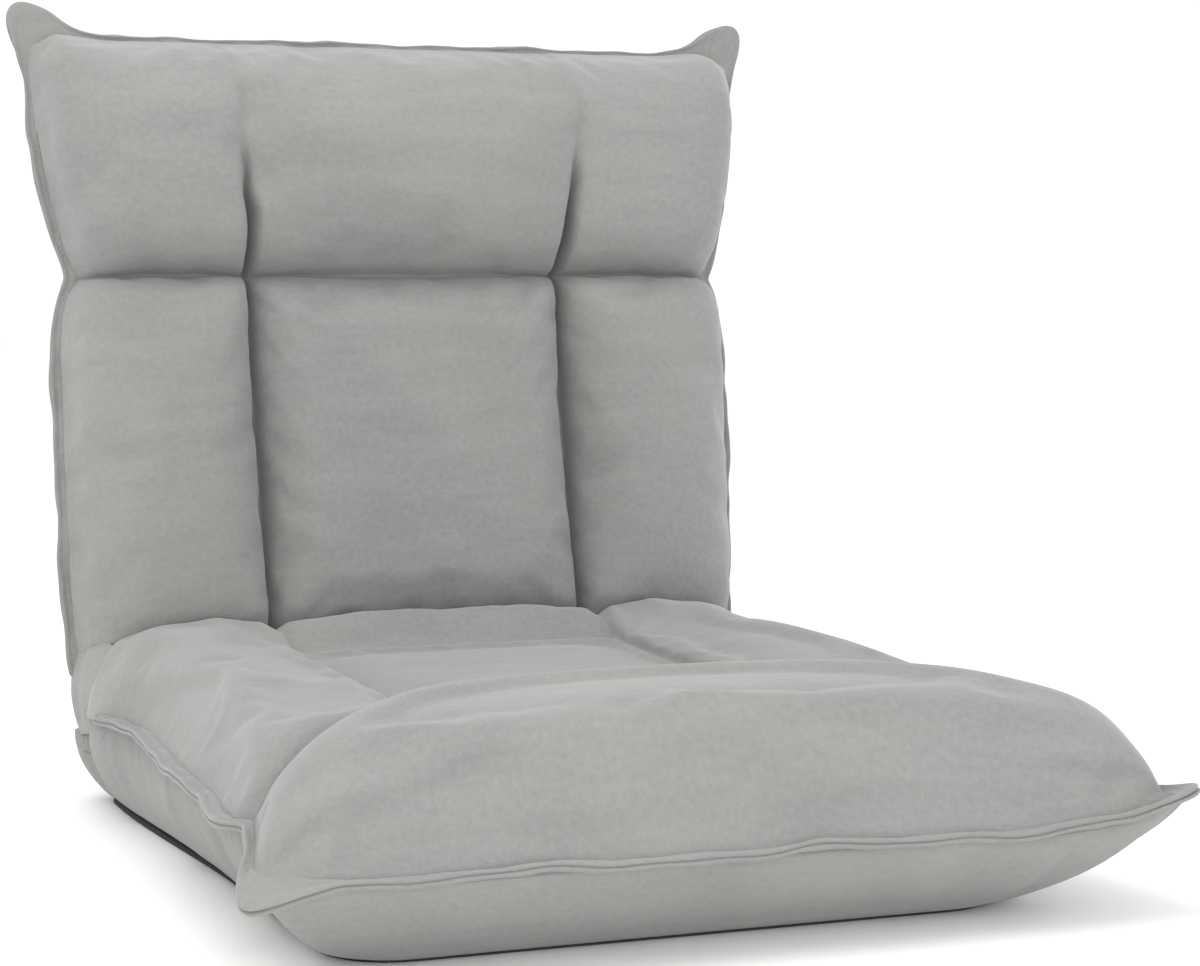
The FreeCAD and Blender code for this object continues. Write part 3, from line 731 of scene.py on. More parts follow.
def tuck(grid, reach, drop, last_row):
    """Pushes the sewn edge a little way into its flange, so that no gap shows beside the seam."""
    out = grid.copy()
    share = ease((grid[:, 0, 1] * last_row - 30) / 40)
    out[:, 0, 0] -= reach * share
    out[:, -1, 0] += reach * share
    out[-1, :, 1] += reach * last_row
    for rim in (out[:, 0], out[:, -1], out[-1, 1:-1]):
        rim[:, 2] -= drop
    return out


def closed_pillow(name, grid, level, material, flip=False):
    """A filled cover with its open side closed."""
    rows, columns = grid.shape[:2]
    points = list(grid.reshape(-1, 3))
    uv = list(grid_map(grid).reshape(-1, 2))
    faces = grid_faces(rows, columns, flip)
    close_opening(points, uv, faces, border_of(rows, columns), level, flip)
    return make_piece(name, np.array(points), faces, material, np.array(uv))


SEAM_GAP = 0.5


def keep_apart(grid, start, axis, seam, where=True):
    """Cloth that starts on one side of a seam stays there: neighbouring pads press flat."""
    out = grid.copy()
    for side, hold in ((-1, np.minimum), (1, np.maximum)):
        here = where & (side * (start[..., axis] - seam) > 0.01)
        held = hold(out[..., axis], seam + side * SEAM_GAP)
        out[..., axis] = np.where(here, held, out[..., axis])
    return out


seat_start = roughen(seat_points, seat_sewn, size=26.0, height=0.5, seed=3.0)
seat_filled = fill_cover("seat_filling", seat_start, seat_sewn, pressure=2.0, slack=0.006,
                         steps=18, cap=8.0, stiffness=12.0, bend=0.8)
behind_roll = seat_start[..., 1] > roll_seam_y + 5
for seam in (-seat_seam_x, seat_seam_x):
    seat_filled = keep_apart(seat_filled, seat_start, 0, seam, behind_roll)
seat_filled = tuck(seat_filled, reach=5.0, drop=2.5, last_row=-1)
seat_flap = [seat_filled[0] + [0, back, -down] for back, down in ((16, 34), (12, 18), (5, 6))]
seat_whole = np.concatenate([seat_flap, seat_filled], axis=0)


def level_to(height):
    """Rings that close an opening settle at one height."""
    def level(points, share):
        points[:, 2] = points[:, 2] + (height - points[:, 2]) * min(1, share * 3)
        return points
    return level


EDGE_HEIGHT = 80.0
seat_pillow = closed_pillow("seat_pillow", seat_whole, level_to(EDGE_HEIGHT + 1), suede_grey, True)
face_outwards(seat_pillow)
settle(seat_pillow)
print("seat pillow faces:", len(seat_pillow.data.polygons))

# %% [markdown]
# ## The back cushion's pattern
# The back has three tall panels with two deep channels between them, and a fuller roll across
# the head. The channels run on into the roll as short darts. The drawing is made flat, as
# places along and across the back and a depth in front of it, and then leaned back.

# %% Back outline and depths
AXIS_HEIGHT = 60.0
BACK_TURN = math.radians(84)
channel_x = 122.0
PANEL_DRIFT = 8.0                              # the panels drift to one side towards the head
PANEL_CROWN, SIDE_PANEL_CROWN, HEAD_CROWN = 61, 65, 76
DART_END = 1.48                                # a mark: 1 is the head seam, 2 the top edge
head_seam = 329.0
head_top = 505.0
back_bottom = 56.0
EDGE_L = [36, 60, 115, 198, 275, 300, 318, 329, 340, 352, 390, 444, 500, 530]
EDGE_X = [254, 257, 260, 261, 261, 259, 254, 247, 251, 256, 265, 274, 279, 280]


def lean(flat):
    """Turns flat back places (x, along, forward) up to the stored lean."""
    x, along, forward = flat[..., 0], flat[..., 1], flat[..., 2]
    y = along * math.cos(BACK_TURN) - forward * math.sin(BACK_TURN)
    z = AXIS_HEIGHT + along * math.sin(BACK_TURN) + forward * math.cos(BACK_TURN)
    return np.stack([x, y, z], axis=-1)


def back_side(along):
    return np.interp(along, EDGE_L, EDGE_X)


def top_line(x):
    return head_top + 4 * ease((np.abs(x) - 215) / 50) - 8 * ease((np.abs(x) - 256) / 20)


def bottom_line(x):
    """The lower edge dips at the sides, where it runs down into the crease."""
    return back_bottom - 21 * ease((np.abs(x) - 150) / 90)


def channel_at(along):
    """The channels are straight up to the head seam; the darts above them lean outwards."""
    return channel_x + 9 * ease((along - head_seam) / 115)


def back_depth(x, along):
    """How far the filled cover stands in front of the frame."""
    away = abs(x)
    side = shoulder(back_side(along) - away, 46, 2.2)
    if along <= head_seam:
        bottom = np.interp(along, [50, 62, 80], [0.55, 0.85, 1.0])
        seam = np.interp(along, [50, 120, head_seam], [30, 16, 18])
        top = PANEL_CROWN if away < channel_x else SIDE_PANEL_CROWN
        crown = shoulder(abs(away - channel_x), 30, 2.8)
        crown = crown * (0.08 + 0.92 * shoulder(head_seam - along, 26, 2.2))
        return (seam + (top - seam) * crown) * side * bottom
    off_dart = away - channel_at(along)
    dart_share = ease((438 - along) / 100.0)
    dart = 1 - 0.55 * dart_share * math.exp(-(off_dart / 3.2) ** 2)
    dart -= 0.07 * dart_share * math.exp(-(off_dart / 15.0) ** 2)
    rise = shoulder(along - head_seam, 48, 2.2)
    fall = shoulder(top_line(x) - along, 92, 2.1)
    low = 26.0 * (1 - (along - head_seam) / (head_top - head_seam))
    return (low + (HEAD_CROWN - low) * rise * fall) * side * dart


# %% Back cushion


def back_place(mark, sign, value):
    """One point of the flat cover: mark 0 at the bottom, 1 at the head seam, 2 at the top."""
    x = value if sign == 0 else sign * channel_x
    for _ in range(4):
        along = np.interp(mark, [0, 1, 2], [bottom_line(x), head_seam, top_line(x)])
        channel = channel_at(along)
        if sign:
            x = sign * (channel + (back_side(along) - channel) * value)
        else:
            x = value * channel / channel_x
    return x, along, back_depth(x, along)


def back_is_sewn(mark, sign, value):
    on_edge = mark < 0.001 or mark > 1.999 or (sign != 0 and value > 0.999)
    on_channel = sign != 0 and value < 0.001 and mark < DART_END
    return on_edge or on_channel or abs(mark - 1) < 0.001


def back_cover(name, grid, flap_steps, material):
    """A flat filled grid with a flap below it, closed behind and leaned with the back."""
    flap = [grid[0] * [1, 1, share] - [0, down, 0] for down, share in flap_steps]
    piece = closed_pillow(name, np.concatenate([flap, grid], axis=0), level_to(0.0), material)
    places = np.array([v.co for v in piece.data.vertices]) / MM
    piece.data.vertices.foreach_set("co", (lean(places) * MM).astype(np.float32).ravel())
    face_outwards(piece)
    settle(piece)
    print(name, "faces:", len(piece.data.polygons))
    return piece


back_marks = spread([0, 1, 2], [52, 40], 0.62)
back_columns = three_parts(channel_x, 0.75)
back_points, back_sewn = sewn_grid(back_marks, back_columns, back_place, back_is_sewn)
back_start = roughen(back_points, back_sewn, size=24.0, height=0.7, seed=9.0)
back_filled = fill_cover("back_filling", back_start, back_sewn, pressure=2.6, slack=0.013,
                         steps=20, cap=9.0, stiffness=12.0, bend=0.5)
for seam in (-channel_x, channel_x):
    below_head = back_start[..., 1] < head_seam - 0.01
    back_filled = keep_apart(back_filled, back_start, 0, seam, below_head)
back_filled = keep_apart(back_filled, back_start, 1, head_seam)
back_filled = tuck(back_filled, reach=4.0, drop=0.5, last_row=1)
drawn = ease((back_filled[..., 1] - 60) / 270)
across = np.clip(np.abs(back_filled[..., 0]) / back_side(back_filled[..., 1]), 0, 1)
back_filled[..., 0] -= PANEL_DRIFT * (drawn * (1 - across ** 4))
back_pillow = back_cover("back_pillow", back_filled, ((6, 0.15), (6, 0.5), (3.5, 0.85)), suede_grey)

# %% [markdown]
# ## Edge flanges
# Where the front and rear covers meet, their seam allowances are turned in and topstitched into
# a soft flange 6 to 11 mm wide. Each flange is two padded layers with a groove between them.
# At the corners the filling doesn't reach, so the flange widens there into a flat ear.

# %% Flange


STITCH_SHARE = 0.56                            # where the stitches lie, across the flange


def ribbon_section():
    """The two layers, dipped where they are stitched: share of the width, and height."""
    upper = [(-0.30, 1.2), (0.0, 2.5), (0.22, 3.0), (0.42, 2.5), (STITCH_SHARE, 2.0), (0.70, 2.7),
             (0.88, 3.2), (0.98, 2.5), (1.0, 1.5), (0.97, 0.55), (0.86, 0.12)]
    return upper + [(w, -h) for w, h in reversed(upper)]


def lengths_along(line):
    """Distance of each point from the first, measured along the line."""
    return np.concatenate([[0], np.cumsum(np.linalg.norm(np.diff(line, axis=0), axis=1))])


def flange_piece(name, inner, outer, up, thickness, seed):
    """A flange between two lines of points, with small puckers along it."""
    section = ribbon_section()
    count = len(inner)
    lengths = lengths_along(outer)
    swell = 1 + ripple(lengths, seed, [19, 37, 71], [0.05, 0.07, 0.08])
    points, uv = [], []
    for i in range(count):
        a, b, n = inner[i], outer[i], up[i]
        for k, (w, h) in enumerate(section):
            points.append(a + (b - a) * w + n * h * thickness * swell[i])
            uv.append((lengths[i], k * 2.2))
    columns = len(section)
    faces = ring_faces(neighbours(0, count - 1), columns)
    faces.append(tuple(range(columns)))
    faces.append(tuple(range((count - 1) * columns, count * columns))[::-1])
    piece = make_piece(name, np.array(points), faces, suede_grey, np.array(uv))
    face_outwards(piece)
    return piece


def even_line(line, count):
    """A set number of even points along a line."""
    line = np.array(line, float)
    lengths = lengths_along(line)
    places = np.linspace(0, lengths[-1], count)
    return np.stack([np.interp(places, lengths, column) for column in line.T], axis=1)


def resample(line, step):
    """Even points along a line, about a step apart."""
    return even_line(line, int(lengths_along(np.array(line, float))[-1] / step))


def smooth_line(line, passes):
    line = line.copy()
    for _ in range(passes):
        line[1:-1] = line[1:-1] * 0.5 + (line[:-2] + line[2:]) * 0.25
    return line


def outward_of(plan, towards):
    """Directions square to a line in plan. The middle one points along y, towards 1 or -1."""
    tangent = np.gradient(plan, axis=0)
    tangent /= np.linalg.norm(tangent, axis=1, keepdims=True)
    out = np.stack([tangent[:, 1], -tangent[:, 0]], axis=1)
    return out if out[len(out) // 2, 1] * towards > 0 else -out


def upright_of(inner, outer, axis, sign):
    """Directions square to a flange's face, all on its upper side or all on its front side."""
    up = np.cross(np.gradient(outer, axis=0), outer - inner)
    up /= np.linalg.norm(up, axis=1, keepdims=True)
    return np.where(up[:, axis:axis + 1] * sign < 0, -up, up)


def with_ear(plan, outer, corner, outline, before, after):
    """Replaces the outer edge round one corner by a drawn ear outline."""
    tip = int(np.argmin(np.linalg.norm(plan - np.array(corner), axis=1)))
    first, last = tip - before, tip + after
    ear = [tuple(outer[first])] + outline + [tuple(outer[last])]
    result = outer.copy()
    result[first:last + 1] = even_line(ear, last - first + 1)
    return result


# %% Seat flange
SEAM_STEP = 4.0
SEAT_THICKNESS, BACK_THICKNESS = 1.0, 0.85     # of each flange, as a share of its section's
flange_width = 11.0
seat_corners = [(-270, -594), (291, -594)]
seat_ears = [[(-285, -575), (-291, -596), (-292, -607), (-287, -614), (-276, -615), (-258, -611)],
             [(276, -611), (293, -615), (303, -613), (307, -606), (306, -595), (301, -575)]]


def seat_seam_line():
    """The seat's seam line in plan, from the rear of one side round the front to the other."""
    ys = [y for y in np.arange(-68, -600, -SEAM_STEP) if y > -587]
    left, right = ([(sign * seat_side(y, sign), y) for y in ys] for sign in (-1, 1))
    front = [(x, front_line(x)) for x in np.arange(-269, 289, SEAM_STEP)]
    return smooth_line(resample(left + front + right[::-1], SEAM_STEP), 3)


def corner_share(plan, corners, radius):
    """1 at a corner, falling to 0 a radius away."""
    away = [np.linalg.norm(plan - np.array(corner), axis=1) for corner in corners]
    return 1 - np.clip(np.min(away, axis=0) / radius, 0, 1)


seat_seam_plan = seat_seam_line()
run = np.arange(len(seat_seam_plan)) * SEAM_STEP
width = flange_width + ripple(run, 21, [53, 99, 190], [0.4, 0.6, 0.8])
width = width * ease(np.minimum(run, run[::-1]) / 16 + 0.15)
outer_plan = seat_seam_plan + outward_of(seat_seam_plan, -1) * width[:, None]
for corner, outline in zip(seat_corners, seat_ears):
    outer_plan = with_ear(seat_seam_plan, outer_plan, corner, outline, 10, 10)
outer_plan = smooth_line(outer_plan, 1)
seam_z = border_height(seat_seam_plan[:, 0], seat_seam_plan[:, 1])
seam_z = seam_z + ripple(run, 5, [95, 170], [0.6, 0.9])
edge_z = seam_z + ripple(run, 8, [66, 110, 190], [0.4, 0.6, 0.9])
edge_z = edge_z + np.where(seat_seam_plan[:, 1] < -560, 1.6, -0.5)
curl = np.where(seat_seam_plan[:, 0] < 0, -17.0, 15.0)     # down at the left, up at the right
edge_z = edge_z + curl * corner_share(seat_seam_plan, seat_corners, 36) ** 1.1
seat_inner = np.column_stack([seat_seam_plan, seam_z])
seat_outer = np.column_stack([outer_plan, edge_z])
seat_up = upright_of(seat_inner, seat_outer, 2, 1)
seat_flange = flange_piece("seat_edge_flange", seat_inner, seat_outer, seat_up, SEAT_THICKNESS, 31)
settle(seat_flange)
print("seat flange length:", round(run[-1]), "mm")

# %% Back flange
back_ear = [(283, 477), (293, 510), (296, 524), (294, 532), (287, 536), (277, 534), (262, 528),
            (251, 518)]


def back_seam_line():
    """Seam line of the back from the bottom of one side over the top to the other."""
    alongs = np.arange(37, 497, SEAM_STEP)
    left = [(-back_side(along), along) for along in alongs]
    top = [(x, top_line(x)) for x in np.arange(-270, 271, SEAM_STEP)]
    right = [(back_side(along), along) for along in alongs[::-1]]
    return smooth_line(resample(left + top + right, SEAM_STEP), 4)


back_seam_plan = back_seam_line()
run = np.arange(len(back_seam_plan)) * SEAM_STEP
on_top = ease((back_seam_plan[:, 1] - 470) / 30)
width = 10.0 - 4.0 * on_top + ripple(run, 41, [46, 82, 150], [0.4, 0.6, 0.6])
outer_plan = back_seam_plan + outward_of(back_seam_plan, 1) * width[:, None]
left_ear = [(-x, along) for x, along in back_ear]
outer_plan = with_ear(back_seam_plan, outer_plan, (-275, 502), left_ear, 15, 9)
outer_plan = with_ear(back_seam_plan, outer_plan, (275, 502), back_ear[::-1], 9, 15)
outer_plan = smooth_line(outer_plan, 1)
seam_d = ripple(run, 43, [52, 97, 160], [0.5, 0.8, 0.8])
edge_d = seam_d + ripple(run, 47, [31, 66, 150], [0.8, 1.1, 1.2])
back_inner = lean(np.column_stack([back_seam_plan, seam_d]))
back_outer = lean(np.column_stack([outer_plan, edge_d]))
back_up = upright_of(back_inner, back_outer, 1, -1)
back_flange = flange_piece("back_edge_flange", back_inner, back_outer, back_up, BACK_THICKNESS, 33)
settle(back_flange)
print("back flange length:", round(run[-1]), "mm")

# %% [markdown]
# ## Topstitching
# Both flanges are sewn through with a row of stitches that sink into the cloth. Stitches
# repeat along a path, so a Geometry Nodes tree lays them: it walks a line, sets one small bead
# of thread at each step and turns it along the seam.

# %% Stitch tree


def stitch_tree(material):
    """A Geometry Nodes group that lays one bead of thread at each step along a line."""
    tree = bpy.data.node_groups.new("stitch_row", "GeometryNodeTree")
    face = tree.interface
    face.new_socket("Seam line", in_out="INPUT", socket_type="NodeSocketGeometry")
    for label, value in (("Pitch", 0.0038), ("Stitch length", 0.0029), ("Thread radius", 0.00042)):
        socket = face.new_socket(label, in_out="INPUT", socket_type="NodeSocketFloat")
        socket.default_value = value
    face.new_socket("Stitches", in_out="OUTPUT", socket_type="NodeSocketGeometry")

    def add(kind, sockets, **settings):
        """One node with its settings and the value or link of each socket. Returns its outputs."""
        node = tree.nodes.new(kind)
        for key, value in settings.items():
            setattr(node, key, value)
        for key, value in sockets.items():
            if isinstance(value, bpy.types.NodeSocket):
                tree.links.new(value, node.inputs[key])
            else:
                node.inputs[key].default_value = value
        return node.outputs

    given = add("NodeGroupInput", {})
    radius = given["Thread radius"]
    curve = add("GeometryNodeMeshToCurve", {"Mesh": given["Seam line"]})
    steps = {"Curve": curve["Curve"], "Length": given["Pitch"]}
    points = add("GeometryNodeCurveToPoints", steps, mode="LENGTH")
    bead = add("GeometryNodeMeshUVSphere", {"Segments": 6, "Rings": 5, "Radius": 1.0})
    half = add("ShaderNodeMath", {0: given["Stitch length"], 1: 0.5}, operation="MULTIPLY")
    size = add("ShaderNodeCombineXYZ", {"X": radius, "Y": radius, "Z": half[0]})
    beads = add("GeometryNodeInstanceOnPoints", {
        "Points": points["Points"], "Rotation": points["Rotation"],
        "Instance": bead["Mesh"], "Scale": size[0]})
    real = add("GeometryNodeRealizeInstances", {"Geometry": beads["Instances"]})
    painted = add("GeometryNodeSetMaterial", {"Geometry": real["Geometry"], "Material": material})
    add("NodeGroupOutput", {"Stitches": painted["Geometry"]})
    return tree


stitch_nodes = stitch_tree(grey_thread)


def stitch_piece(name, lines):
    """Stitches along one or more lines of points, as one plain mesh."""
    points, edges = [], []
    for line in lines:
        start = len(points)
        points.extend(line)
        edges.extend((start + i, start + i + 1) for i in range(len(line) - 1))
    mesh = bpy.data.meshes.new(name + "_line")
    mesh.from_pydata([tuple(p) for p in np.array(points) * MM], edges, [])
    piece = bpy.data.objects.new(name, mesh)
    scene.collection.objects.link(piece)
    rows = piece.modifiers.new("stitches", "NODES")
    rows.node_group = stitch_nodes
    freeze(piece)
    piece.data.shade_smooth()
    print(name, "faces:", len(piece.data.polygons))
    return piece


def stitch_lines(inner, outer, up, thickness):
    """Rows on both faces of a flange, just proud of the dip that they pull."""
    middle = inner + (outer - inner) * STITCH_SHARE
    return [middle + up * (2.0 * thickness), middle - up * (2.0 * thickness)]


seat_rows = stitch_lines(seat_inner, seat_outer, seat_up, SEAT_THICKNESS)
back_rows = stitch_lines(back_inner, back_outer, back_up, BACK_THICKNESS)
seat_stitches = stitch_piece("seat_flange_stitches", seat_rows)
back_stitches = stitch_piece("back_flange_stitches", back_rows)

# %% [markdown]
# ## The base
# Below the flange a plain band of cloth, the boxing, tapers in to the floor round a foam block.
# It is lofted between two outlines: the pillow's seam above, and a rounded rectangle below.
# Cloth stretched over foam wrinkles where it turns a corner and where the seam pulls it.

# %% Base outlines
base_half, base_front, base_rear, base_corner = 219.0, -540.0, 46.0, 45.0
BASE_MIDDLE = np.array([0, -250])


def rounded_outline(half, front, rear, corner):
    """Points round a rounded rectangle, from the rear middle by the left side to the front."""
    points = []
    corners = [(-half, rear, 90), (-half, front, 180), (half, front, 270), (half, rear, 0)]
    for x, y, start in corners:
        cx = x + corner if x < 0 else x - corner
        cy = y - corner if y == rear else y + corner
        for step in range(13):
            turn = math.radians(start + 90 * step / 12)
            points.append((cx + corner * math.cos(turn), cy + corner * math.sin(turn)))
    return resample([(0.0, rear)] + points + [(0.0, rear)], 1.0)


def base_top_outline():
    """The pillow's seam line, closed round the rear."""
    ys = np.arange(-88, 10, 4.0)
    left = [(-seat_side(y) + 3, y) for y in ys[::-1]]
    right = [(seat_side(y, 1) - 3, y) for y in ys]
    turns = np.linspace(0, math.pi / 2, 9)
    corner = [(-260 + 30 * (1 - math.cos(t)), 12 + 34 * math.sin(t)) for t in turns]
    line = [(0.0, base_rear)] + corner[::-1] + left + [tuple(p) for p in seat_seam_plan]
    line += right + [(-x, y) for x, y in corner] + [(0.0, base_rear)]
    return smooth_line(resample(line, 3.0), 6)


def top_height(x, y):
    """The boxing's upper edge: the seam height, lower behind the hinge axis."""
    seam = border_height(x, y) - 1.5
    return np.where(y > -90, np.interp(y, [-90, -40, 0, 30, 46], [78.5, 72, 62, 52, 46]), seam)


def rolled_edge(plan):
    """Where the boxing stops above the floor and the black cloth rolls up: left side and rear."""
    side = ease((-plan[:, 0] - 150) / 50) * ease((plan[:, 1] + 480) / 420)
    return np.maximum(side, 0.5 * ease((plan[:, 1] - 20) / 15))


def widened(plan):
    """The footprint is wider towards the rear."""
    wide = plan.copy()
    wide[:, 0] *= 1 + 0.065 * ease((plan[:, 1] + 320) / 300)
    return wide


def fade(plan, centre, radius):
    """1 at a place in plan, fading smoothly to almost nothing at twice the radius."""
    return np.exp(-(np.linalg.norm(plan - np.array(centre), axis=1) / radius) ** 2)


def turn_of(ring):
    """The angle of each point of a ring about the base's middle, without a jump."""
    return np.unwrap(np.arctan2(ring[:, 1] - BASE_MIDDLE[1], ring[:, 0]))


# %% Base boxing
BOXING_ROWS, BOXING_COLUMNS = 22, 420
FULL_TURN = 2 * math.pi
BASE_EARS = ((seat_corners[1], (303.0, -611.0), 0.75, 11.0),
             (seat_corners[0], (-284.0, -606.0), 0.4, -8.0))   # corner, ear, share, lift


def base_boxing():
    low = rounded_outline(base_half, base_front, base_rear, base_corner)
    low = widened(even_line(low, BOXING_COLUMNS + 1)[:-1])
    high = even_line(base_top_outline(), BOXING_COLUMNS + 1)[:-1]
    turn = turn_of(high)
    turns = np.concatenate([turn - FULL_TURN, turn, turn + FULL_TURN])
    rounds = np.concatenate([high, high, high])
    top = np.stack([np.interp(turn_of(low), turns, column) for column in rounds.T], axis=1)
    ear_lift = np.zeros(len(top))
    for corner, ear, share, lift in BASE_EARS:
        near = fade(top, corner, 30)
        top = top + (np.array(ear) - top) * near[:, None] * share
        ear_lift = ear_lift + near * lift
    z_top = top_height(top[:, 0], top[:, 1]) + ear_lift
    z_low = 1.0 + 2.6 * rolled_edge(low)
    right_corner = fade(low, (base_half - 10, base_front + 10), 75)
    left_side = ease((-low[:, 0] - 120) / 60)
    length = lengths_along(low)
    gathers = ripple(length, 61, [13, 19, 31, 57], [0.35, 0.5, 0.7, 0.8])
    ear_gathers = fade(top, seat_corners[1], 60) * ripple(length, 91, [21, 34], [1.6, 2.4])
    folds = ripple(length, 67, [44, 83, 190], [0.7, 1.1, 1.4])
    corner_folds = right_corner * ripple(length, 83, [23, 41], [2.2, 3.4])
    rows = []
    for row in range(BOXING_ROWS + 1):
        share = row / BOXING_ROWS
        plan = top + (low - top) * share
        away = plan - BASE_MIDDLE
        away /= np.linalg.norm(away, axis=1, keepdims=True)
        middle = math.sin(math.pi * share)
        bulge = (7.0 + 15.0 * right_corner + 3.0 * left_side) * middle ** 0.8
        pulled = gathers * math.exp(-share / 0.35) + ear_gathers * math.exp(-share / 0.4)
        folded = folds * math.sin(math.pi * min(1, share * 1.05)) * (0.8 + 0.7 * left_side)
        plan = plan + away * (bulge + pulled + folded + corner_folds * middle)[:, None]
        plan = plan - away * (5.0 * max(0.0, share - 0.93) / 0.07)
        rows.append(np.column_stack([plan, z_top * (1 - share) + z_low * share]))
    return np.array(rows)


def closed_tube(name, grid, material, low_level, high_level):
    """A band of cloth whose columns close on themselves, with its two ends closed by rings."""
    rows, columns = grid.shape[:2]
    points = list(grid.reshape(-1, 3))
    around = np.linalg.norm(np.diff(np.concatenate([grid, grid[:, :1]], axis=1), axis=1), axis=2)
    u = np.concatenate([[0], np.cumsum(around.mean(axis=0))])[:-1]
    v = np.concatenate([[0], np.cumsum(np.linalg.norm(np.diff(grid, axis=0), axis=2).mean(axis=1))])
    uv = [(u[c], v[r]) for r in range(rows) for c in range(columns)]
    faces = ring_faces(neighbours(0, rows - 1), columns)
    for first_row, level in ((0, high_level), (rows - 1, low_level)):
        edge = [first_row * columns + c for c in range(columns)]
        close_opening(points, uv, faces, edge, level, flip=first_row > 0)
    piece = make_piece(name, np.array(points), faces, material, np.array(uv))
    face_outwards(piece)
    return piece


def flat_level(height):
    """Rings that close an opening lie at one height from the first."""
    def level(points, share):
        points[:, 2] = height
        return points
    return level


boxing = closed_tube("base_boxing", base_boxing(), boxing_grey, flat_level(1.0), level_to(74.0))
settle(boxing)
print("boxing faces:", len(boxing.data.polygons))

# %% [markdown]
# ## The back's rear cover
# The rear of the back is one plain panel over a thin foam. It was not in view in the
# photograph, so it stays simple: a soft crown, rounded edges, and faint pulls at the seam.

# %% Rear panel


def rear_place(mark, share):
    """One point of the flat rear cover: mark 0 at the bottom, 1 at the top."""
    x = share * 250
    for _ in range(3):
        low_edge = bottom_line(x)
        along = low_edge + (top_line(x) - low_edge) * mark
        x = share * back_side(along)
    side = shoulder(back_side(along) - abs(x), 30, 2.4)
    top = shoulder(top_line(x) - along, 30, 2.4)
    low = 0.55 + 0.45 * shoulder(along - back_bottom, 22, 2.0)
    return x, along, -36.0 * side * top * low


def rear_is_sewn(mark, share):
    return abs(share) > 0.999 or mark > 0.999 or mark < 0.001


rear_columns = [(share,) for share in spread([-1, 1], [80], 0.6)]
rear_marks = spread([0, 1], [70], 0.6)
rear_points, rear_sewn = sewn_grid(rear_marks, rear_columns, rear_place, rear_is_sewn)
rear_start = roughen(rear_points, rear_sewn, size=30.0, height=0.6, seed=15.0)
rear_filled = fill_cover("rear_filling", rear_start, rear_sewn, pressure=-1.2, slack=0.015,
                         steps=16, cap=6.0)
rear_flap = ((5, 0.15), (5, 0.5), (3, 0.85))
rear_panel = back_cover("back_rear_panel", rear_filled, rear_flap, boxing_grey)

# %% [markdown]
# ## The hinge gusset
# A loose skirt of cloth closes the gap between the base and the back, round the sides and
# rear, and hides the hinges. It has to stretch when the back folds forward, so it is cut full
# and hangs in soft gathers.

# %% Hinge gusset
LOW_SIDE = [(-238, -84, 64), (-247, -62, 63), (-255, -40, 60), (-258, -15, 56), (-256, 8, 52),
            (-249, 27, 46), (-231, 39, 41), (-196, 42, 39)]
HIGH_SIDE = [(-226, -66, 112), (-238, -46, 122), (-246, -26, 128), (-250, -8, 131),
             (-250, 8, 133), (-243, 22, 134), (-226, 29, 134), (-190, 30, 134)]
GUSSET_ROWS, GUSSET_COLUMNS = 15, 150


def gusset_grid():
    """Rows from the base's upper edge to the back's lower end; the front ends go into the seat."""
    edges = []
    for side in (LOW_SIDE, HIGH_SIDE):
        mirror = np.array(side[::-1], float) * [-1, 1, 1]
        edges.append(smooth_line(even_line(side + mirror.tolist(), GUSSET_COLUMNS), 3))
    gathers = ripple(np.arange(GUSSET_COLUMNS) * 4.6, 71, [21, 37, 90], [0.8, 1.2, 1.6])
    out = outward_of(edges[0][:, :2], 1)
    rows = []
    for row in range(GUSSET_ROWS):
        share = row / (GUSSET_ROWS - 1)
        middle = math.sin(math.pi * share)
        line = edges[0] + (edges[1] - edges[0]) * share
        line[:, :2] += out * (9 * middle + gathers * middle ** 0.6)[:, None]
        rows.append(line)
    return np.array(rows)


gusset_points = gusset_grid()
gusset = make_piece("hinge_gusset", gusset_points.reshape(-1, 3),
                    grid_faces(GUSSET_ROWS, GUSSET_COLUMNS), boxing_grey,
                    grid_map(gusset_points).reshape(-1, 2))
thick = gusset.modifiers.new("cloth", "SOLIDIFY")
thick.thickness = 1.2 * MM
thick.offset = 0
settle(gusset)
face_outwards(gusset)

# %% [markdown]
# ## Underside cloth
# A black spun cloth closes the base. It is folded under at its edge, a little inside the
# boxing, so that a thin dark line shows where the chair stands on the floor.

# %% Underside cloth


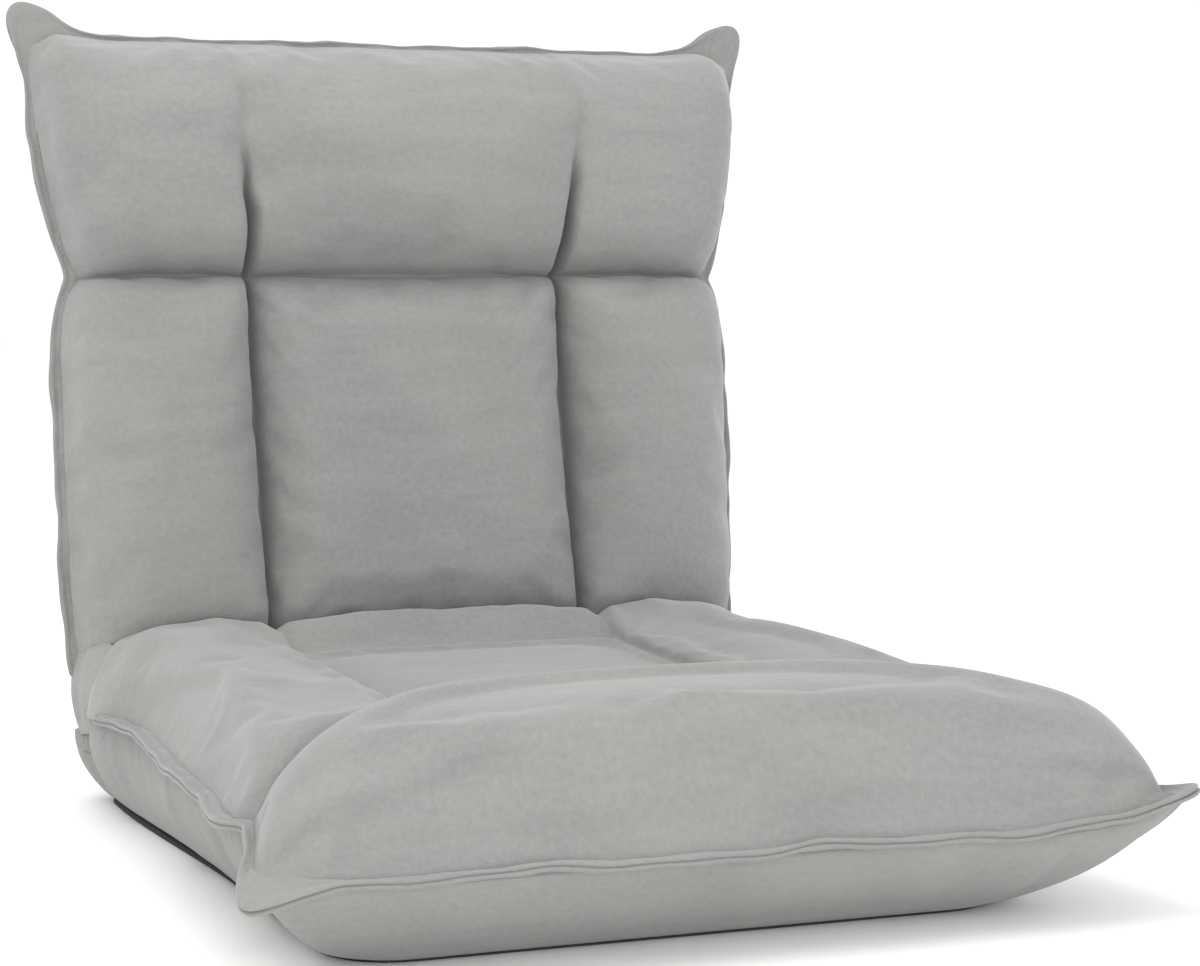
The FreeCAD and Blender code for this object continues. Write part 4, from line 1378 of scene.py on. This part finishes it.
def underside():
    outline = rounded_outline(base_half - 2, base_front + 3, base_rear - 1, base_corner)
    loop = widened(even_line(outline, 301)[:-1])
    centre = np.array([0.0, -246.0])
    points = []
    profile = [(1.0, 0.25), (1.0, 1.35), (0.994, 1.7), (0.97, 1.7), (0.9, 1.6), (0.6, 1.6),
               (0.3, 1.6)]
    under = [(0.994, 0.0), (0.97, 0.0), (0.965, 0.25), (0.9, 0.3), (0.6, 0.3), (0.3, 0.3)]
    for scale, z in profile + under:
        ring = centre + (loop - centre) * scale
        rolled = rolled_edge(loop) * (scale > 0.95)
        outward = (ring - centre) / np.linalg.norm(ring - centre, axis=1, keepdims=True)
        ring = ring + outward * (2.6 * rolled)[:, None]
        points.extend(np.column_stack([ring, z * (1 + 1.3 * rolled * (z > 1))]))
    count = len(loop)
    first_under = len(profile)
    last = first_under + len(under) - 1
    pairs = neighbours(0, first_under - 1) + [(0, first_under)] + neighbours(first_under, last)
    faces = ring_faces(pairs, count)
    uv = [point[:2] for point in points]
    for ring, height in ((first_under - 1, 1.6), (last, 0.3)):
        edge = [ring * count + c for c in range(count)]
        close_opening(points, uv, faces, edge, flat_level(height))
    piece = make_piece("underside_cloth", np.array(points), faces, black_cloth)
    face_outwards(piece)
    return piece


underside_cloth = underside()
print("underside faces:", len(underside_cloth.data.polygons))

# %% [markdown]
# ## What each piece rides on
# The base and its flange stay with the seat. The pieces sewn across the crease have their placement
# baked into their mesh.

for piece in (boxing, seat_flange, seat_stitches, underside_cloth):
    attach(piece, "seat")
for piece in (seat_pillow, back_pillow, back_flange, back_stitches, rear_panel, gusset):
    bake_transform(piece)

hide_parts("seat_cover", "seat_front_roll_foam", "seat_left_bolster_foam",
            "seat_right_bolster_foam", "seat_centre_pad_foam", "seat_rear_pad_foam", "seat_felt",
            "front_gusset")
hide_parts("back_front_cover", "back_left_panel_foam", "back_right_panel_foam",
            "back_centre_panel_foam", "head_roll_foam")
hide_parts("back_rear_cover", "back_rear_foam")
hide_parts("base_cover", "base_foam")
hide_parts("bottom_cloth")
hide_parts("rear_gusset")

# %% Floor finish


def floor_finish():
    finish = Finish("pale_floor")
    place = finish.add("ShaderNodeTexCoord", None, None, "Object")
    soft = finish.noise(place, 3.0, 2.0)
    colour = finish.mix(soft, (0.955, 0.955, 0.95), (0.965, 0.965, 0.96))
    finish.set(Base_Color=colour, Roughness=0.85)
    return finish.material


floor.data.materials.append(floor_finish())
